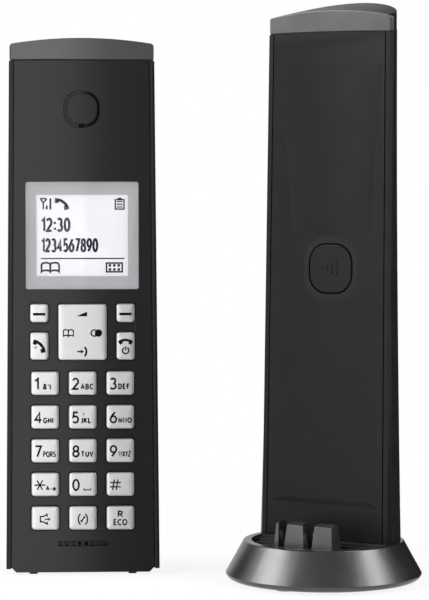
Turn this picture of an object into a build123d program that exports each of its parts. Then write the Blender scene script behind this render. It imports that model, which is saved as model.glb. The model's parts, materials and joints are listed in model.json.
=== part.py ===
"""Cordless phone with its charging tower: every piece of both as a separate solid.

The tower stands at the origin, which is the middle of its round foot on the table, and faces -Y.
The handset stands beside it, turned towards the viewer. Lengths are millimetres, +Z is up.
"""
from build123d import *
import os
from math import atan, cos, degrees, radians, sin, tan

# Where the handset stands on the table
HANDSET_X = -69.7
HANDSET_Y = -33.1
HANDSET_YAW = 35.9

# Handset outline
HANDSET_WIDTH_BOTTOM = 49.0
HANDSET_WIDTH_TOP = 46.0
HANDSET_DEPTH = 20.9
HANDSET_DEPTH_TOP = 16.9
SHOULDER_Z = 100.0
CASE_BOTTOM = 1.9
CASE_WALL = 2.2
CASE_BACK_WALL = 1.6
CASE_FLOOR = 1.6
REAR_EDGE_RADIUS = 6.0
FRONT_EDGE_RADIUS = 0.7
FOOT_RIB_WIDTH = 2.55
FOOT_RIB_SIDE = 8.65

# Handset cap and the dark line under it
CAP_SEAM_EDGE = 163.3
CAP_SEAM_CROWN = 163.8
CAP_GAP = 0.45
CAP_CORNER = 169.0
CAP_CROWN = 170.9
CAP_INSET = 0.15
CAP_CORNER_RADIUS = 1.2
NECK_INSET = 1.3
CAP_WALL = 1.8

# Handset faceplate between the side rails
PLATE_THICKNESS = 1.8
PLATE_BOTTOM = 0.8
PLATE_CHAMFER = 1.5
RAIL_WIDTH = 1.45
RAIL_GROOVE = 0.3

# Earpiece
EARPIECE_Z = 148.4
EARPIECE_RING_OUTER = 11.7
EARPIECE_RING_INNER = 9.1
EARPIECE_RING_FLAT = 1.9
EARPIECE_RING_DEPTH = 0.6
EARPIECE_SLOT_WIDTH = 1.9
EARPIECE_MESH_THICKNESS = 0.3
RECEIVER_DIAMETER = 15.0
RECEIVER_HEIGHT = 3.2
RECEIVER_CHAMFER = 0.8

# Display
WINDOW_WIDTH = 35.8
WINDOW_HEIGHT = 34.1
WINDOW_Z = 108.4
WINDOW_RADIUS = 0.7
WINDOW_THICKNESS = 1.1
WINDOW_SET_BACK = 0.1
WINDOW_CLEARANCE = 0.12
WINDOW_LEDGE = 1.2
LCD_WIDTH = 35.0
LCD_HEIGHT = 33.4
LCD_THICKNESS = 1.8
BACKLIGHT_BORDER = 0.6

# Keys: columns, rows and sizes
KEY_SIDE_MARGIN = 8.1
KEY_COLUMN_GAP = 3.05
KEY_ROW_TOP = 61.45
KEY_ROW_PITCH = 10.78
KEY_HEIGHT = 7.6
KEY_RADIUS = 1.1
SIDE_KEY_MARGIN = 7.85
SIDE_KEY_WIDTH = 5.9
SOFT_KEY_Z = 83.8
SOFT_KEY_HEIGHT = 5.95
CALL_KEY_Z = 73.3
CALL_KEY_HEIGHT = 8.85
NAVIGATOR_Z = 77.75
NAVIGATOR_GAP = 3.0
NAVIGATOR_HEIGHT = 17.9
NAVIGATOR_RADIUS = 1.0
KEY_PROUD = 0.9
KEY_BEVEL = 0.35
KEY_CLEARANCE = 0.3
KEY_FLANGE = 0.8
KEY_FLANGE_THICKNESS = 0.7
KEY_FLANGE_GAP = 0.3
KEY_MAT_GAP = 0.9
NAVIGATOR_FLANGE_GAP = 0.6
NAVIGATOR_PIVOT_DIAMETER = 4.0
NAVIGATOR_PIVOT_CLEARANCE = 0.12
KEY_NUB_DIAMETER = 0.9
KEY_NUB_HEIGHT = 0.25
DIGIT_NUB = (0.2, 1.0)
TALK_NUB = (-1.3, -0.4)

# Keypad mat and board behind the keys
MAT_THICKNESS = 1.0
MAT_BORDER = 0.65
MAT_BOTTOM = 12.8
MAT_TOP = 89.4
BOARD_THICKNESS = 1.2
BOARD_BOTTOM = 10.4
BOARD_TOP = 127.4

# Microphone slot
MIC_Z = 10.0
MIC_SLOT_WIDTH = 15.9
MIC_SLOT_HEIGHT = 1.7
MIC_SLOT_DEPTH = 0.45
MIC_HOLE_COUNT = 8
MIC_HOLE_PITCH = 2.05
MIC_HOLE_DIAMETER = 1.25
MIC_DIMPLE_DEPTH = 0.3
MIC_CAPSULE_DIAMETER = 4.0
MIC_CAPSULE_HEIGHT = 1.5

# Loudspeaker on the back of the handset
SPEAKER_Z = 138.0
SPEAKER_DIAMETER = 18.0
SPEAKER_HEIGHT = 4.2
GRILLE_HOLE = 1.6
GRILLE_RING_RADIUS = 4.2
GRILLE_RING_COUNT = 6

# Batteries, their tray and the sliding cover
CELL_LENGTH = 43.3
CELL_NUB_DIAMETER = 3.6
CELL_NUB_HEIGHT = 1.2
CELL_GAP = 0.7
CELL_CLEARANCE = 0.3
TRAY_BOTTOM = 27.0
TRAY_WALL = 1.2
TRAY_GAP = 1.1
SPRING_LENGTH = 4.2
SPRING_WIDTH = 4.0
TERMINAL_THICKNESS = 0.4
TERMINAL_WIDTH = 8.0
COVER_ROOM = 1.9
COVER_BOTTOM = 14.0
COVER_TOP = 96.0
COVER_CLEARANCE = 0.3
COVER_TRAVEL = 10.0
COVER_RUNNER_X = 16.0
COVER_RUNNER_WIDTH = 1.2
COVER_RUNNER_HEIGHT = 0.7
COVER_RUNNER_LENGTH = 50.0
COVER_GRIP_COUNT = 5
COVER_GRIP_PITCH = 1.8
COVER_GRIP_WIDTH = 0.8
COVER_GRIP_DEPTH = 0.4
COVER_GRIP_LENGTH = 16.0

# Case screws under the battery cover
SCREW_SIDE = 5.2
SCREW_HEIGHTS = (22.0, 87.0)
SCREW_HEAD_DIAMETER = 3.2
SCREW_HEAD_HEIGHT = 1.2
SCREW_SHANK_DIAMETER = 1.6
SCREW_LENGTH = 13.0
SCREW_CLEARANCE = 0.15
BOSS_WALL = 0.75
BOSS_JOINT = 9.0
PLATE_BOSS_DIAMETER = 3.4

# Tower: round foot
FOOT_BOTTOM = 0.8
FOOT_BOTTOM_RADIUS = 28.4
FOOT_WIDEST_RADIUS = 30.9
FOOT_WIDEST_Z = 2.7
FOOT_SKIRT_BULGE = 0.54
FOOT_TOP_RADIUS = 25.2
FOOT_TOP = 13.0
FOOT_WALL = 2.2
FOOT_RIM_EDGE = 0.5
PAN_RADIUS = 22.8
PAN_FLOOR = 10.4
PAN_STEP_COUNT = 4
PAN_STEP_RUN = 2.3
PAN_FLOOR_THICKNESS = 1.8
BOTTOM_PLATE_THICKNESS = 1.8
BOTTOM_PLATE_CLEARANCE = 0.2
RUBBER_FOOT_DIAMETER = 7.0
RUBBER_FOOT_RADIUS = 22.2
RUBBER_FOOT_SEAT = 0.6
RUBBER_FOOT_COUNT = 4

# Tower: column
COLUMN_FRONT_BOTTOM = -0.1
COLUMN_FRONT_TOP = 2.45
COLUMN_FACE_BOTTOM = 45.8
COLUMN_FACE_TOP = 43.9
SHOULDER_SET_BACK = 1.2
COLUMN_SHOULDER_BOTTOM = 48.3
COLUMN_SHOULDER_MIDDLE = 45.7
COLUMN_SHOULDER_TOP = 45.4
COLUMN_BACK_BOTTOM = 24.3
COLUMN_BACK_TOP = 21.7
COLUMN_MIDDLE_Z = 90.0
COLUMN_WALL = 2.0
COLUMN_RAIL_WIDTH = 1.5
COLUMN_GROOVE = 0.35
PANEL_THICKNESS = 2.0
PANEL_LEDGE = 1.0
PANEL_FOOT_GAP = 0.2

# Tower: cap
TOWER_CAP_CROWN = 178.9
TOWER_CROWN_RISE = 2.0
TOWER_CAP_HEIGHT = 5.1
TOWER_SEAM_RISE = 0.3
COLUMN_PAST_SEAM = 0.2
TOWER_CAP_PITCH = 10.0
TOWER_CAP_TRIM = 1.4
TOWER_CAP_EDGE_RADIUS = 2.2

# Tower: hollow in the front panel that takes the handset's back
HOLLOW_BOTTOM = 24.0
HOLLOW_RAMP = 1.3
HOLLOW_BELOW_SEAM = 5.0
HOLLOW_HALF_WIDTH = 19.9
HOLLOW_SIDE_SLOPE = 2.0
HOLLOW_SIDE_WALL = 3.0
HOLLOW_DEPTH_BOTTOM = 2.2
HOLLOW_DEPTH = 2.6

# Tower: paging button
PAGING_Z = 98.3
PAGING_WIDTH = 15.2
PAGING_HEIGHT = 15.2
PAGING_RADIUS = 5.8
PAGING_CLEARANCE = 0.4
PAGING_PROUD = 0.2
PAGING_BEVEL = 0.25
PAGING_FLANGE = 1.2
PAGING_FLANGE_THICKNESS = 1.0
PAGING_STEM_DIAMETER = 4.0
PAGING_STEM_LENGTH = 0.8
PAGING_TRAVEL_ROOM = 0.9
SWITCH_SIZE = 6.0
SWITCH_HEIGHT = 3.0
SWITCH_PLUNGER_DIAMETER = 3.2
SWITCH_PLUNGER_HEIGHT = 0.8
TOWER_BOARD_HALF_WIDTH = 11.0
TOWER_BOARD_BOTTOM = 40.0
TOWER_BOARD_TOP = 140.0
STANDOFF_DIAMETER = 4.0
STANDOFF_X = 8.5
STANDOFF_HEIGHTS = (52.0, 128.0)

# Tower: charging cradle, its fingers from left to right
CRADLE_DEPTH = 6.0
CRADLE_TOP = 19.4
CRADLE_LEFT = -10.2
CRADLE_FINGERS = (1.7, 7.4, 7.7)
CRADLE_SLOTS = (1.9, 2.6)
CRADLE_DRAFT = 0.9
CRADLE_NOSE = 1.4
CONTACT_WIDTH = 1.0
CONTACT_THICKNESS = 0.5
CONTACT_HEIGHT = 4.5

# Tower: sockets in the back of the column
SOCKET_BAY_HALF_WIDTH = 13.0
SOCKET_BAY_BOTTOM = 18.0
SOCKET_BAY_TOP = 34.0
SOCKET_BAY_FLOOR = 20.0
SOCKET_Z = 26.0
LINE_SOCKET_X = -6.2
LINE_SOCKET_WIDTH = 6.8
LINE_SOCKET_HEIGHT = 7.6
LINE_SOCKET_DEPTH = 9.0
LINE_BODY_WIDTH = 10.4
LINE_BODY_HEIGHT = 11.0
POWER_SOCKET_X = 6.4
POWER_SOCKET_DIAMETER = 5.6
POWER_PIN_DIAMETER = 2.0
POWER_BODY_SIZE = 9.0
POWER_PIN_SET_BACK = 1.0
SOCKET_BODY_DEPTH = 12.0
SOCKET_RIM = 1.0
SOCKET_CLEARANCE = 0.2

# Tower screws, driven up through the bottom plate
TOWER_SCREW_RADIUS = 15.0
TOWER_SCREW_COUNT = 3
TOWER_SCREW_TURN = 30.0
TOWER_SCREW_LENGTH = 9.0

# How the handset docks: its place above the foot's rim and in front of the column
DOCK_RIM_GAP = 0.2
DOCK_GAP = 0.4
DOCK_FROM_FACE = 7.9
DOCK_CLEARANCE = 0.5
DOCK_WELL_WALL = 1.2

# Room that cuts and blanks run past the faces they cross
PAST = 4.0

# Values worked out from the sizes above
HANDSET_PLACE = Pos(HANDSET_X, HANDSET_Y, 0) * Rot(0, 0, HANDSET_YAW)
FOOT_RIB_X = HANDSET_WIDTH_BOTTOM / 2 - FOOT_RIB_SIDE
KEY_WIDTH = (HANDSET_WIDTH_BOTTOM - 2 * KEY_SIDE_MARGIN - 2 * KEY_COLUMN_GAP) / 3
KEY_COLUMN = KEY_WIDTH + KEY_COLUMN_GAP
SIDE_KEY_X = HANDSET_WIDTH_BOTTOM / 2 - SIDE_KEY_MARGIN - SIDE_KEY_WIDTH / 2
NAVIGATOR_WIDTH = 2 * SIDE_KEY_X - SIDE_KEY_WIDTH - 2 * NAVIGATOR_GAP
MAT_HALF_WIDTH = SIDE_KEY_X + SIDE_KEY_WIDTH / 2 + MAT_BORDER
SCREW_X = HANDSET_WIDTH_BOTTOM / 2 - SCREW_SIDE
KEY_FLANGE_FRONT = PLATE_THICKNESS + KEY_FLANGE_GAP
KEY_FLANGE_BACK = KEY_FLANGE_FRONT + KEY_FLANGE_THICKNESS
MAT_FRONT = KEY_FLANGE_BACK + KEY_MAT_GAP
MAT_BACK = MAT_FRONT + MAT_THICKNESS
BOARD_BACK = MAT_BACK + BOARD_THICKNESS
BACK_PLANE = HANDSET_DEPTH - COVER_ROOM
TRAY_FLOOR = BOARD_BACK + TRAY_GAP + TRAY_WALL
CELL_DIAMETER = BACK_PLANE - TRAY_FLOOR - CELL_CLEARANCE
CELL_SPACING = CELL_DIAMETER + CELL_GAP
CELL_Y = BACK_PLANE - CELL_DIAMETER / 2
TRAY_HALF_WIDTH = CELL_SPACING / 2 + CELL_DIAMETER / 2 + CELL_CLEARANCE
TRAY_TOP = TRAY_BOTTOM + SPRING_LENGTH + CELL_LENGTH + CELL_NUB_HEIGHT + TERMINAL_THICKNESS
BOSS_DIAMETER = SCREW_HEAD_DIAMETER + 2 * SCREW_CLEARANCE + 2 * BOSS_WALL
TOWER_CAP_CORNER = TOWER_CAP_CROWN - TOWER_CROWN_RISE
TOWER_SEAM = TOWER_CAP_CORNER - TOWER_CAP_HEIGHT
COLUMN_TOP = TOWER_SEAM + COLUMN_PAST_SEAM
HOLLOW_TOP = TOWER_SEAM - HOLLOW_BELOW_SEAM
COLUMN_LEAN = degrees(atan((COLUMN_FRONT_TOP - COLUMN_FRONT_BOTTOM) / (COLUMN_TOP - FOOT_TOP)))
PANEL_PLACE = Pos(0, COLUMN_FRONT_BOTTOM, FOOT_TOP) * Rot(-COLUMN_LEAN, 0, 0) * Pos(0, 0, -FOOT_TOP)
HOLLOW_DEEPEST_Z = PAGING_Z + PAGING_HEIGHT / 2 + PAGING_FLANGE
PAGING_FLANGE_FRONT = HOLLOW_DEPTH + PANEL_THICKNESS + KEY_FLANGE_GAP
PAGING_STEM_BACK = PAGING_FLANGE_FRONT + PAGING_FLANGE_THICKNESS + PAGING_STEM_LENGTH
SWITCH_FRONT = PAGING_STEM_BACK + PAGING_TRAVEL_ROOM
TOWER_BOARD_FRONT = SWITCH_FRONT + SWITCH_PLUNGER_HEIGHT + SWITCH_HEIGHT
BOTTOM_PLATE_TOP = FOOT_BOTTOM + BOTTOM_PLATE_THICKNESS
DOCK_Z = FOOT_TOP + DOCK_RIM_GAP
DOCK_SHIFT = HANDSET_DEPTH + DOCK_GAP - COLUMN_FRONT_BOTTOM
CRADLE_FRONT = DOCK_FROM_FACE - DOCK_SHIFT


def lerp(z, low, low_value, high, high_value):
    """Value at height z on the straight line between two heights."""
    return low_value + (high_value - low_value) * (z - low) / (high - low)


def slab(sketch, front, back):
    """Front-view sketch, x across and z up, thickened from one depth to another."""
    return extrude(Plane.XZ.offset(-front) * sketch, amount=front - back)


def block(x0, x1, y0, y1, z0, z1):
    """Box between two corners."""
    return Pos((x0 + x1) / 2, (y0 + y1) / 2, (z0 + z1) / 2) * Box(x1 - x0, y1 - y0, z1 - z0)


def rod(x, z, diameter, front, back):
    """Round bar that runs from front to back."""
    return slab(Pos(x, z) * Circle(diameter / 2), front, back)


def upright(x, y, diameter, bottom, top):
    """Round bar that stands upright."""
    return Pos(x, y, (bottom + top) / 2) * Cylinder(diameter / 2, top - bottom)


def area_under(edge, crown, half_width, bottom=-PAST):
    """Front-view area below a shallow arch."""
    arch = ThreePointArc((half_width, edge), (0, crown), (-half_width, edge))
    sides = Polyline((-half_width, edge), (-half_width, bottom), (half_width, bottom), (half_width, edge))
    return make_face(arch + sides)


def tapered_area(bottom_half, bottom, top_half, top):
    """Front-view area whose width changes evenly from bottom to top."""
    corners = [(-bottom_half, bottom), (bottom_half, bottom), (top_half, top), (-top_half, top)]
    return make_face(Polyline(*corners, close=True))


# Handset, drawn with its front face on y = 0


def handset_half(z):
    """Half the width of the case at a height."""
    return lerp(z, CASE_BOTTOM, HANDSET_WIDTH_BOTTOM / 2, CAP_SEAM_EDGE, HANDSET_WIDTH_TOP / 2)


def handset_depth(z):
    """Front to back of the case: even up to the shoulder, then slimmer."""
    if z <= SHOULDER_Z:
        return HANDSET_DEPTH
    return lerp(z, SHOULDER_Z, HANDSET_DEPTH, CAP_SEAM_EDGE, HANDSET_DEPTH_TOP)


def case_section(z, inset, back_inset, front):
    """Plan of the case at a height, with rounded rear corners."""
    half = handset_half(z) - inset
    back = handset_depth(z) - back_inset
    plan = Pos(0, (front + back) / 2) * Rectangle(2 * half, back - front)
    plan = fillet(plan.vertices().group_by(Axis.Y)[-1], REAR_EDGE_RADIUS - inset)
    if inset < FRONT_EDGE_RADIUS:
        plan = fillet(plan.vertices().group_by(Axis.Y)[0], FRONT_EDGE_RADIUS)
    return Pos(0, 0, z) * plan


def case_form(inset=0.0, back_inset=0.0, front=0.0, bottom=CASE_BOTTOM, top=CAP_CROWN + PAST):
    """Tapering outside of the case, or the same form drawn in."""
    heights = (bottom, SHOULDER_Z, top)
    return loft([case_section(z, inset, back_inset, front) for z in heights], ruled=True)


def handset_region(edge, crown):
    """Everything in the handset that lies below an arch in the front view."""
    return slab(area_under(edge, crown, HANDSET_WIDTH_BOTTOM), -PAST, HANDSET_DEPTH + PAST)


def between_rails(gap, bottom):
    """Front view of the room between the side rails, up to past the cap's seam."""
    top = CAP_CROWN + PAST
    inset = RAIL_WIDTH + gap
    return tapered_area(handset_half(bottom) - inset, bottom, handset_half(top) - inset, top)


def plate_area():
    """Front view of the faceplate, with its lower corners cut off."""
    area = between_rails(RAIL_GROOVE, PLATE_BOTTOM)
    return chamfer(area.vertices().group_by(Axis.Y)[0], PLATE_CHAMFER)


def screw_places():
    """Left and right case screws at each height."""
    return [(side * SCREW_X, z) for z in SCREW_HEIGHTS for side in (-1, 1)]


def key_places():
    """Name, centre, width and height of every push key."""
    places = {}
    for side, soft, call in ((-1, "soft_key_left", "talk_key"), (1, "soft_key_right", "off_key")):
        places[soft] = (side * SIDE_KEY_X, SOFT_KEY_Z, SIDE_KEY_WIDTH, SOFT_KEY_HEIGHT)
        places[call] = (side * SIDE_KEY_X, CALL_KEY_Z, SIDE_KEY_WIDTH, CALL_KEY_HEIGHT)
    rows = (("key_1", "key_2", "key_3"), ("key_4", "key_5", "key_6"), ("key_7", "key_8", "key_9"),
            ("key_star", "key_0", "key_hash"), ("key_speaker", "key_intercom", "key_recall"))
    for row, names in enumerate(rows):
        for column, name in enumerate(names):
            x = (column - 1) * KEY_COLUMN
            places[name] = (x, KEY_ROW_TOP - row * KEY_ROW_PITCH, KEY_WIDTH, KEY_HEIGHT)
    return places


def key_area(x, z, width, height, radius, grow=0.0):
    """Front view of a key, its opening or its flange."""
    return Pos(x, z) * RectangleRounded(width + 2 * grow, height + 2 * grow, radius + grow)


def push_key(x, z, width, height):
    """Key with a bevelled face and a flange behind the faceplate."""
    cap = slab(key_area(x, z, width, height, KEY_RADIUS), -KEY_PROUD, KEY_FLANGE_FRONT)
    cap = chamfer(cap.faces().sort_by(Axis.Y)[0].edges(), KEY_BEVEL)
    flange = key_area(x, z, width, height, KEY_RADIUS, KEY_FLANGE)
    return cap + slab(flange, KEY_FLANGE_FRONT, KEY_FLANGE_BACK)


def push_keys():
    """Every push key by name; the middle digit and the talk key have a raised dot to find by touch."""
    places = key_places()
    keys = {name: push_key(*place) for name, place in places.items()}
    for name, (right, up) in (("key_5", DIGIT_NUB), ("talk_key", TALK_NUB)):
        x, z = places[name][:2]
        keys[name] += rod(x + right, z + up, KEY_NUB_DIAMETER, -KEY_PROUD - KEY_NUB_HEIGHT, -KEY_PROUD)
    return keys


def navigator_key():
    """Four-way rocker with a bevelled face."""
    front = PLATE_THICKNESS + NAVIGATOR_FLANGE_GAP
    place = (0, NAVIGATOR_Z, NAVIGATOR_WIDTH, NAVIGATOR_HEIGHT, NAVIGATOR_RADIUS)
    cap = slab(key_area(*place), -KEY_PROUD, front)
    cap = chamfer(cap.faces().sort_by(Axis.Y)[0].edges(), KEY_BEVEL)
    return cap + slab(key_area(*place, KEY_FLANGE), front, front + KEY_FLANGE_THICKNESS)


def navigator_pivot():
    """Nub in the middle of the rocker, on which it tilts."""
    front = PLATE_THICKNESS + NAVIGATOR_FLANGE_GAP + KEY_FLANGE_THICKNESS + NAVIGATOR_PIVOT_CLEARANCE
    return rod(0, NAVIGATOR_Z, NAVIGATOR_PIVOT_DIAMETER, front, MAT_FRONT - NAVIGATOR_PIVOT_CLEARANCE)


def handset_faceplate():
    """Front plate with its display pocket, key openings, earpiece ring and microphone slot."""
    plate = slab(plate_area(), 0, PLATE_THICKNESS) & handset_region(CAP_SEAM_EDGE, CAP_SEAM_CROWN)
    openings = [key_area(*place, KEY_RADIUS, KEY_CLEARANCE) for place in key_places().values()]
    navigator = (0, NAVIGATOR_Z, NAVIGATOR_WIDTH, NAVIGATOR_HEIGHT, NAVIGATOR_RADIUS)
    openings.append(key_area(*navigator, KEY_CLEARANCE))
    plate -= [slab(opening, -PAST, PLATE_THICKNESS + PAST) for opening in openings]
    plate -= slab(window_area(WINDOW_CLEARANCE), -PAST, WINDOW_SET_BACK + WINDOW_THICKNESS)
    plate -= slab(window_area(-WINDOW_LEDGE), -PAST, PLATE_THICKNESS + PAST)
    plate -= slab(Pos(0, EARPIECE_Z) * earpiece_ring(), -PAST, EARPIECE_RING_DEPTH)
    plate -= earpiece_slot(PLATE_THICKNESS + PAST)
    plate -= slab(Pos(0, MIC_Z) * SlotOverall(MIC_SLOT_WIDTH, MIC_SLOT_HEIGHT), -PAST, MIC_SLOT_DEPTH)
    plate -= microphone_holes()
    plate += [rod(x, z, PLATE_BOSS_DIAMETER, PLATE_THICKNESS, BOSS_JOINT) for x, z in screw_places()]
    pilot = SCREW_SHANK_DIAMETER + SCREW_CLEARANCE
    screw_tip = BACK_PLANE - SCREW_HEAD_HEIGHT - SCREW_LENGTH - SCREW_CLEARANCE
    return plate - [rod(x, z, pilot, screw_tip, BOSS_JOINT + PAST) for x, z in screw_places()]


def earpiece_ring():
    """Squared ring round the earpiece, seen from the front."""
    rings = [RectangleRounded(size, size, (size - EARPIECE_RING_FLAT) / 2)
             for size in (EARPIECE_RING_OUTER, EARPIECE_RING_INNER)]
    return rings[0] - rings[1]


def earpiece_slot(back):
    """Sound slot through the bottom of the earpiece ring."""
    ring_middle = (EARPIECE_RING_OUTER + EARPIECE_RING_INNER) / 4
    height = (EARPIECE_RING_OUTER - EARPIECE_RING_INNER) / 2
    return slab(Pos(0, EARPIECE_Z - ring_middle) * Rectangle(EARPIECE_SLOT_WIDTH, height), -PAST, back)


def microphone_holes():
    """Row of dimples in the microphone slot, the middle two of them drilled through."""
    holes = []
    for i in range(MIC_HOLE_COUNT):
        offset = i - (MIC_HOLE_COUNT - 1) / 2
        deep = PLATE_THICKNESS + PAST if abs(offset) < 1 else MIC_SLOT_DEPTH + MIC_DIMPLE_DEPTH
        holes.append(rod(offset * MIC_HOLE_PITCH, MIC_Z, MIC_HOLE_DIAMETER, -PAST, deep))
    return holes


def dock_well(grow=0.0):
    """Well in the handset's foot for the tower's charging cradle."""
    width = sum(CRADLE_FINGERS) + sum(CRADLE_SLOTS)
    reach = DOCK_CLEARANCE + grow
    front = CRADLE_FRONT + DOCK_SHIFT - reach
    top = CRADLE_TOP - DOCK_Z + reach
    return block(CRADLE_LEFT - reach, CRADLE_LEFT + width + reach,
                 front, front + CRADLE_DEPTH + 2 * reach, CASE_BOTTOM - PAST, top)


def handset_rear_case():
    """Rear tub with its side rails, battery tray, dock well, speaker grille and screw bosses."""
    case = case_form() & handset_region(CAP_SEAM_EDGE, CAP_SEAM_CROWN)
    cover_room = block(-HANDSET_WIDTH_BOTTOM, HANDSET_WIDTH_BOTTOM, BACK_PLANE, HANDSET_DEPTH + PAST,
                       CASE_BOTTOM - PAST, COVER_TOP + COVER_CLEARANCE)
    case -= cover_room
    cavity = case_form(CASE_WALL, CASE_BACK_WALL, PLATE_THICKNESS, CASE_BOTTOM + CASE_FLOOR,
                       CAP_SEAM_EDGE - CASE_BACK_WALL)
    wall_room = BACK_PLANE - CASE_BACK_WALL
    cavity -= block(-HANDSET_WIDTH_BOTTOM, HANDSET_WIDTH_BOTTOM, wall_room, HANDSET_DEPTH + PAST,
                    CASE_BOTTOM - PAST, COVER_TOP + COVER_CLEARANCE + CASE_BACK_WALL)
    tray = block(-TRAY_HALF_WIDTH - TRAY_WALL, TRAY_HALF_WIDTH + TRAY_WALL,
                 TRAY_FLOOR - TRAY_WALL, BACK_PLANE, TRAY_BOTTOM - TRAY_WALL, TRAY_TOP + TRAY_WALL)
    well = dock_well(DOCK_WELL_WALL)
    bosses = [rod(x, z, BOSS_DIAMETER, BOSS_JOINT, BACK_PLANE) for x, z in screw_places()]
    case -= cavity - tray - well - bosses
    neck = case_form(NECK_INSET, NECK_INSET, NECK_INSET, CAP_SEAM_EDGE - CASE_BACK_WALL)
    case += neck & handset_region(CAP_SEAM_EDGE + CAP_GAP, CAP_SEAM_CROWN + CAP_GAP)
    case -= slab(between_rails(0, -PAST), -PAST, PLATE_THICKNESS)
    case -= block(-TRAY_HALF_WIDTH, TRAY_HALF_WIDTH, TRAY_FLOOR, HANDSET_DEPTH, TRAY_BOTTOM, TRAY_TOP)
    case -= dock_well()
    head_room = SCREW_HEAD_DIAMETER + 2 * SCREW_CLEARANCE
    head_seat = BACK_PLANE - SCREW_HEAD_HEIGHT
    case -= [rod(x, z, head_room, head_seat, BACK_PLANE + PAST) for x, z in screw_places()]
    case -= [rod(x, z, SCREW_SHANK_DIAMETER + SCREW_CLEARANCE, BOSS_JOINT - PAST, BACK_PLANE)
             for x, z in screw_places()]
    case -= speaker_grille()
    case -= [cover_runner(side, COVER_CLEARANCE, COVER_TRAVEL) for side in (-1, 1)]
    ribs = [block(side * FOOT_RIB_X - FOOT_RIB_WIDTH / 2, side * FOOT_RIB_X + FOOT_RIB_WIDTH / 2,
                  PLATE_THICKNESS + RAIL_GROOVE, BACK_PLANE - CASE_BACK_WALL, 0, CASE_BOTTOM + CASE_FLOOR / 2)
            for side in (-1, 1)]
    return case + ribs


def cover_runner(side, grow=0.0, travel=0.0):
    """Rib inside the battery cover, or the groove that it slides in."""
    x = side * COVER_RUNNER_X
    middle = (COVER_BOTTOM + COVER_TOP) / 2
    half = COVER_RUNNER_WIDTH / 2 + grow
    front = BACK_PLANE + COVER_CLEARANCE - COVER_RUNNER_HEIGHT - grow
    return block(x - half, x + half, front, BACK_PLANE + COVER_CLEARANCE,
                 middle - COVER_RUNNER_LENGTH / 2 - grow - travel, middle + COVER_RUNNER_LENGTH / 2 + grow)


def speaker_grille():
    """Holes through the back of the case in front of the loudspeaker."""
    places = [(0, SPEAKER_Z)]
    for i in range(GRILLE_RING_COUNT):
        turn = radians(360 * i / GRILLE_RING_COUNT)
        places.append((GRILLE_RING_RADIUS * sin(turn), SPEAKER_Z + GRILLE_RING_RADIUS * cos(turn)))
    back = handset_depth(SPEAKER_Z)
    return [rod(x, z, GRILLE_HOLE, back - 2 * CASE_BACK_WALL, back + PAST) for x, z in places]


def handset_top_cap():
    """Arched cap that closes the top of the case, hollow underneath."""
    cap = case_form(CAP_INSET, CAP_INSET, CAP_INSET, CAP_SEAM_EDGE - PAST)
    half = handset_half(CAP_CORNER) - CAP_INSET
    top = area_under(CAP_CORNER, CAP_CROWN, half)
    top = fillet(top.vertices().group_by(Axis.Y)[-1], CAP_CORNER_RADIUS)
    cap &= slab(top, -PAST, HANDSET_DEPTH + PAST)
    cap -= handset_region(CAP_SEAM_EDGE + CAP_GAP, CAP_SEAM_CROWN + CAP_GAP)
    inset = NECK_INSET + CAP_WALL
    hollow = case_form(inset, inset, inset, CAP_SEAM_EDGE - PAST)
    return cap - (hollow & handset_region(CAP_CORNER - CAP_WALL, CAP_CROWN - CAP_WALL))


def window_area(grow):
    """Front view of the window's pocket or, drawn in, of the opening behind it."""
    return Pos(0, WINDOW_Z) * Rectangle(WINDOW_WIDTH + 2 * grow, WINDOW_HEIGHT + 2 * grow)


def display_window():
    """Clear glossy window, set into the faceplate."""
    face = Pos(0, WINDOW_Z) * RectangleRounded(WINDOW_WIDTH, WINDOW_HEIGHT, WINDOW_RADIUS)
    return slab(face, WINDOW_SET_BACK, WINDOW_SET_BACK + WINDOW_THICKNESS)


def lcd_area(border=0.0):
    """Front view of the display panel, or of the light guide round it."""
    return Pos(0, WINDOW_Z) * Rectangle(LCD_WIDTH + 2 * border, LCD_HEIGHT + 2 * border)


def lcd_panel():
    """Liquid crystal panel against the back of the faceplate."""
    return slab(lcd_area(), PLATE_THICKNESS, PLATE_THICKNESS + LCD_THICKNESS)


def backlight():
    """Light guide between the panel and the board, with a lip round the panel."""
    guide = slab(lcd_area(BACKLIGHT_BORDER), PLATE_THICKNESS + LCD_THICKNESS / 2, MAT_BACK)
    return guide - slab(lcd_area(), 0, PLATE_THICKNESS + LCD_THICKNESS)


def keypad_mat():
    """Rubber mat under the keys."""
    height = MAT_TOP - MAT_BOTTOM
    return slab(Pos(0, MAT_BOTTOM + height / 2) * RectangleRounded(2 * MAT_HALF_WIDTH, height, KEY_RADIUS),
                MAT_FRONT, MAT_BACK)


def handset_circuit_board():
    """Board that carries the mat and the display."""
    return block(-MAT_HALF_WIDTH, MAT_HALF_WIDTH, MAT_BACK, BOARD_BACK, BOARD_BOTTOM, BOARD_TOP)


def earpiece_receiver():
    """Receiver behind the earpiece ring."""
    body = rod(0, EARPIECE_Z, RECEIVER_DIAMETER, PLATE_THICKNESS + EARPIECE_MESH_THICKNESS,
               PLATE_THICKNESS + EARPIECE_MESH_THICKNESS + RECEIVER_HEIGHT)
    return chamfer(body.faces().sort_by(Axis.Y)[-1].edges(), RECEIVER_CHAMFER)


def earpiece_mesh():
    """Dust mesh between the sound slots and the receiver."""
    return rod(0, EARPIECE_Z, RECEIVER_DIAMETER, PLATE_THICKNESS, PLATE_THICKNESS + EARPIECE_MESH_THICKNESS)


def microphone():
    """Microphone capsule behind its two holes."""
    return rod(0, MIC_Z, MIC_CAPSULE_DIAMETER, PLATE_THICKNESS, PLATE_THICKNESS + MIC_CAPSULE_HEIGHT)


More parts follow.
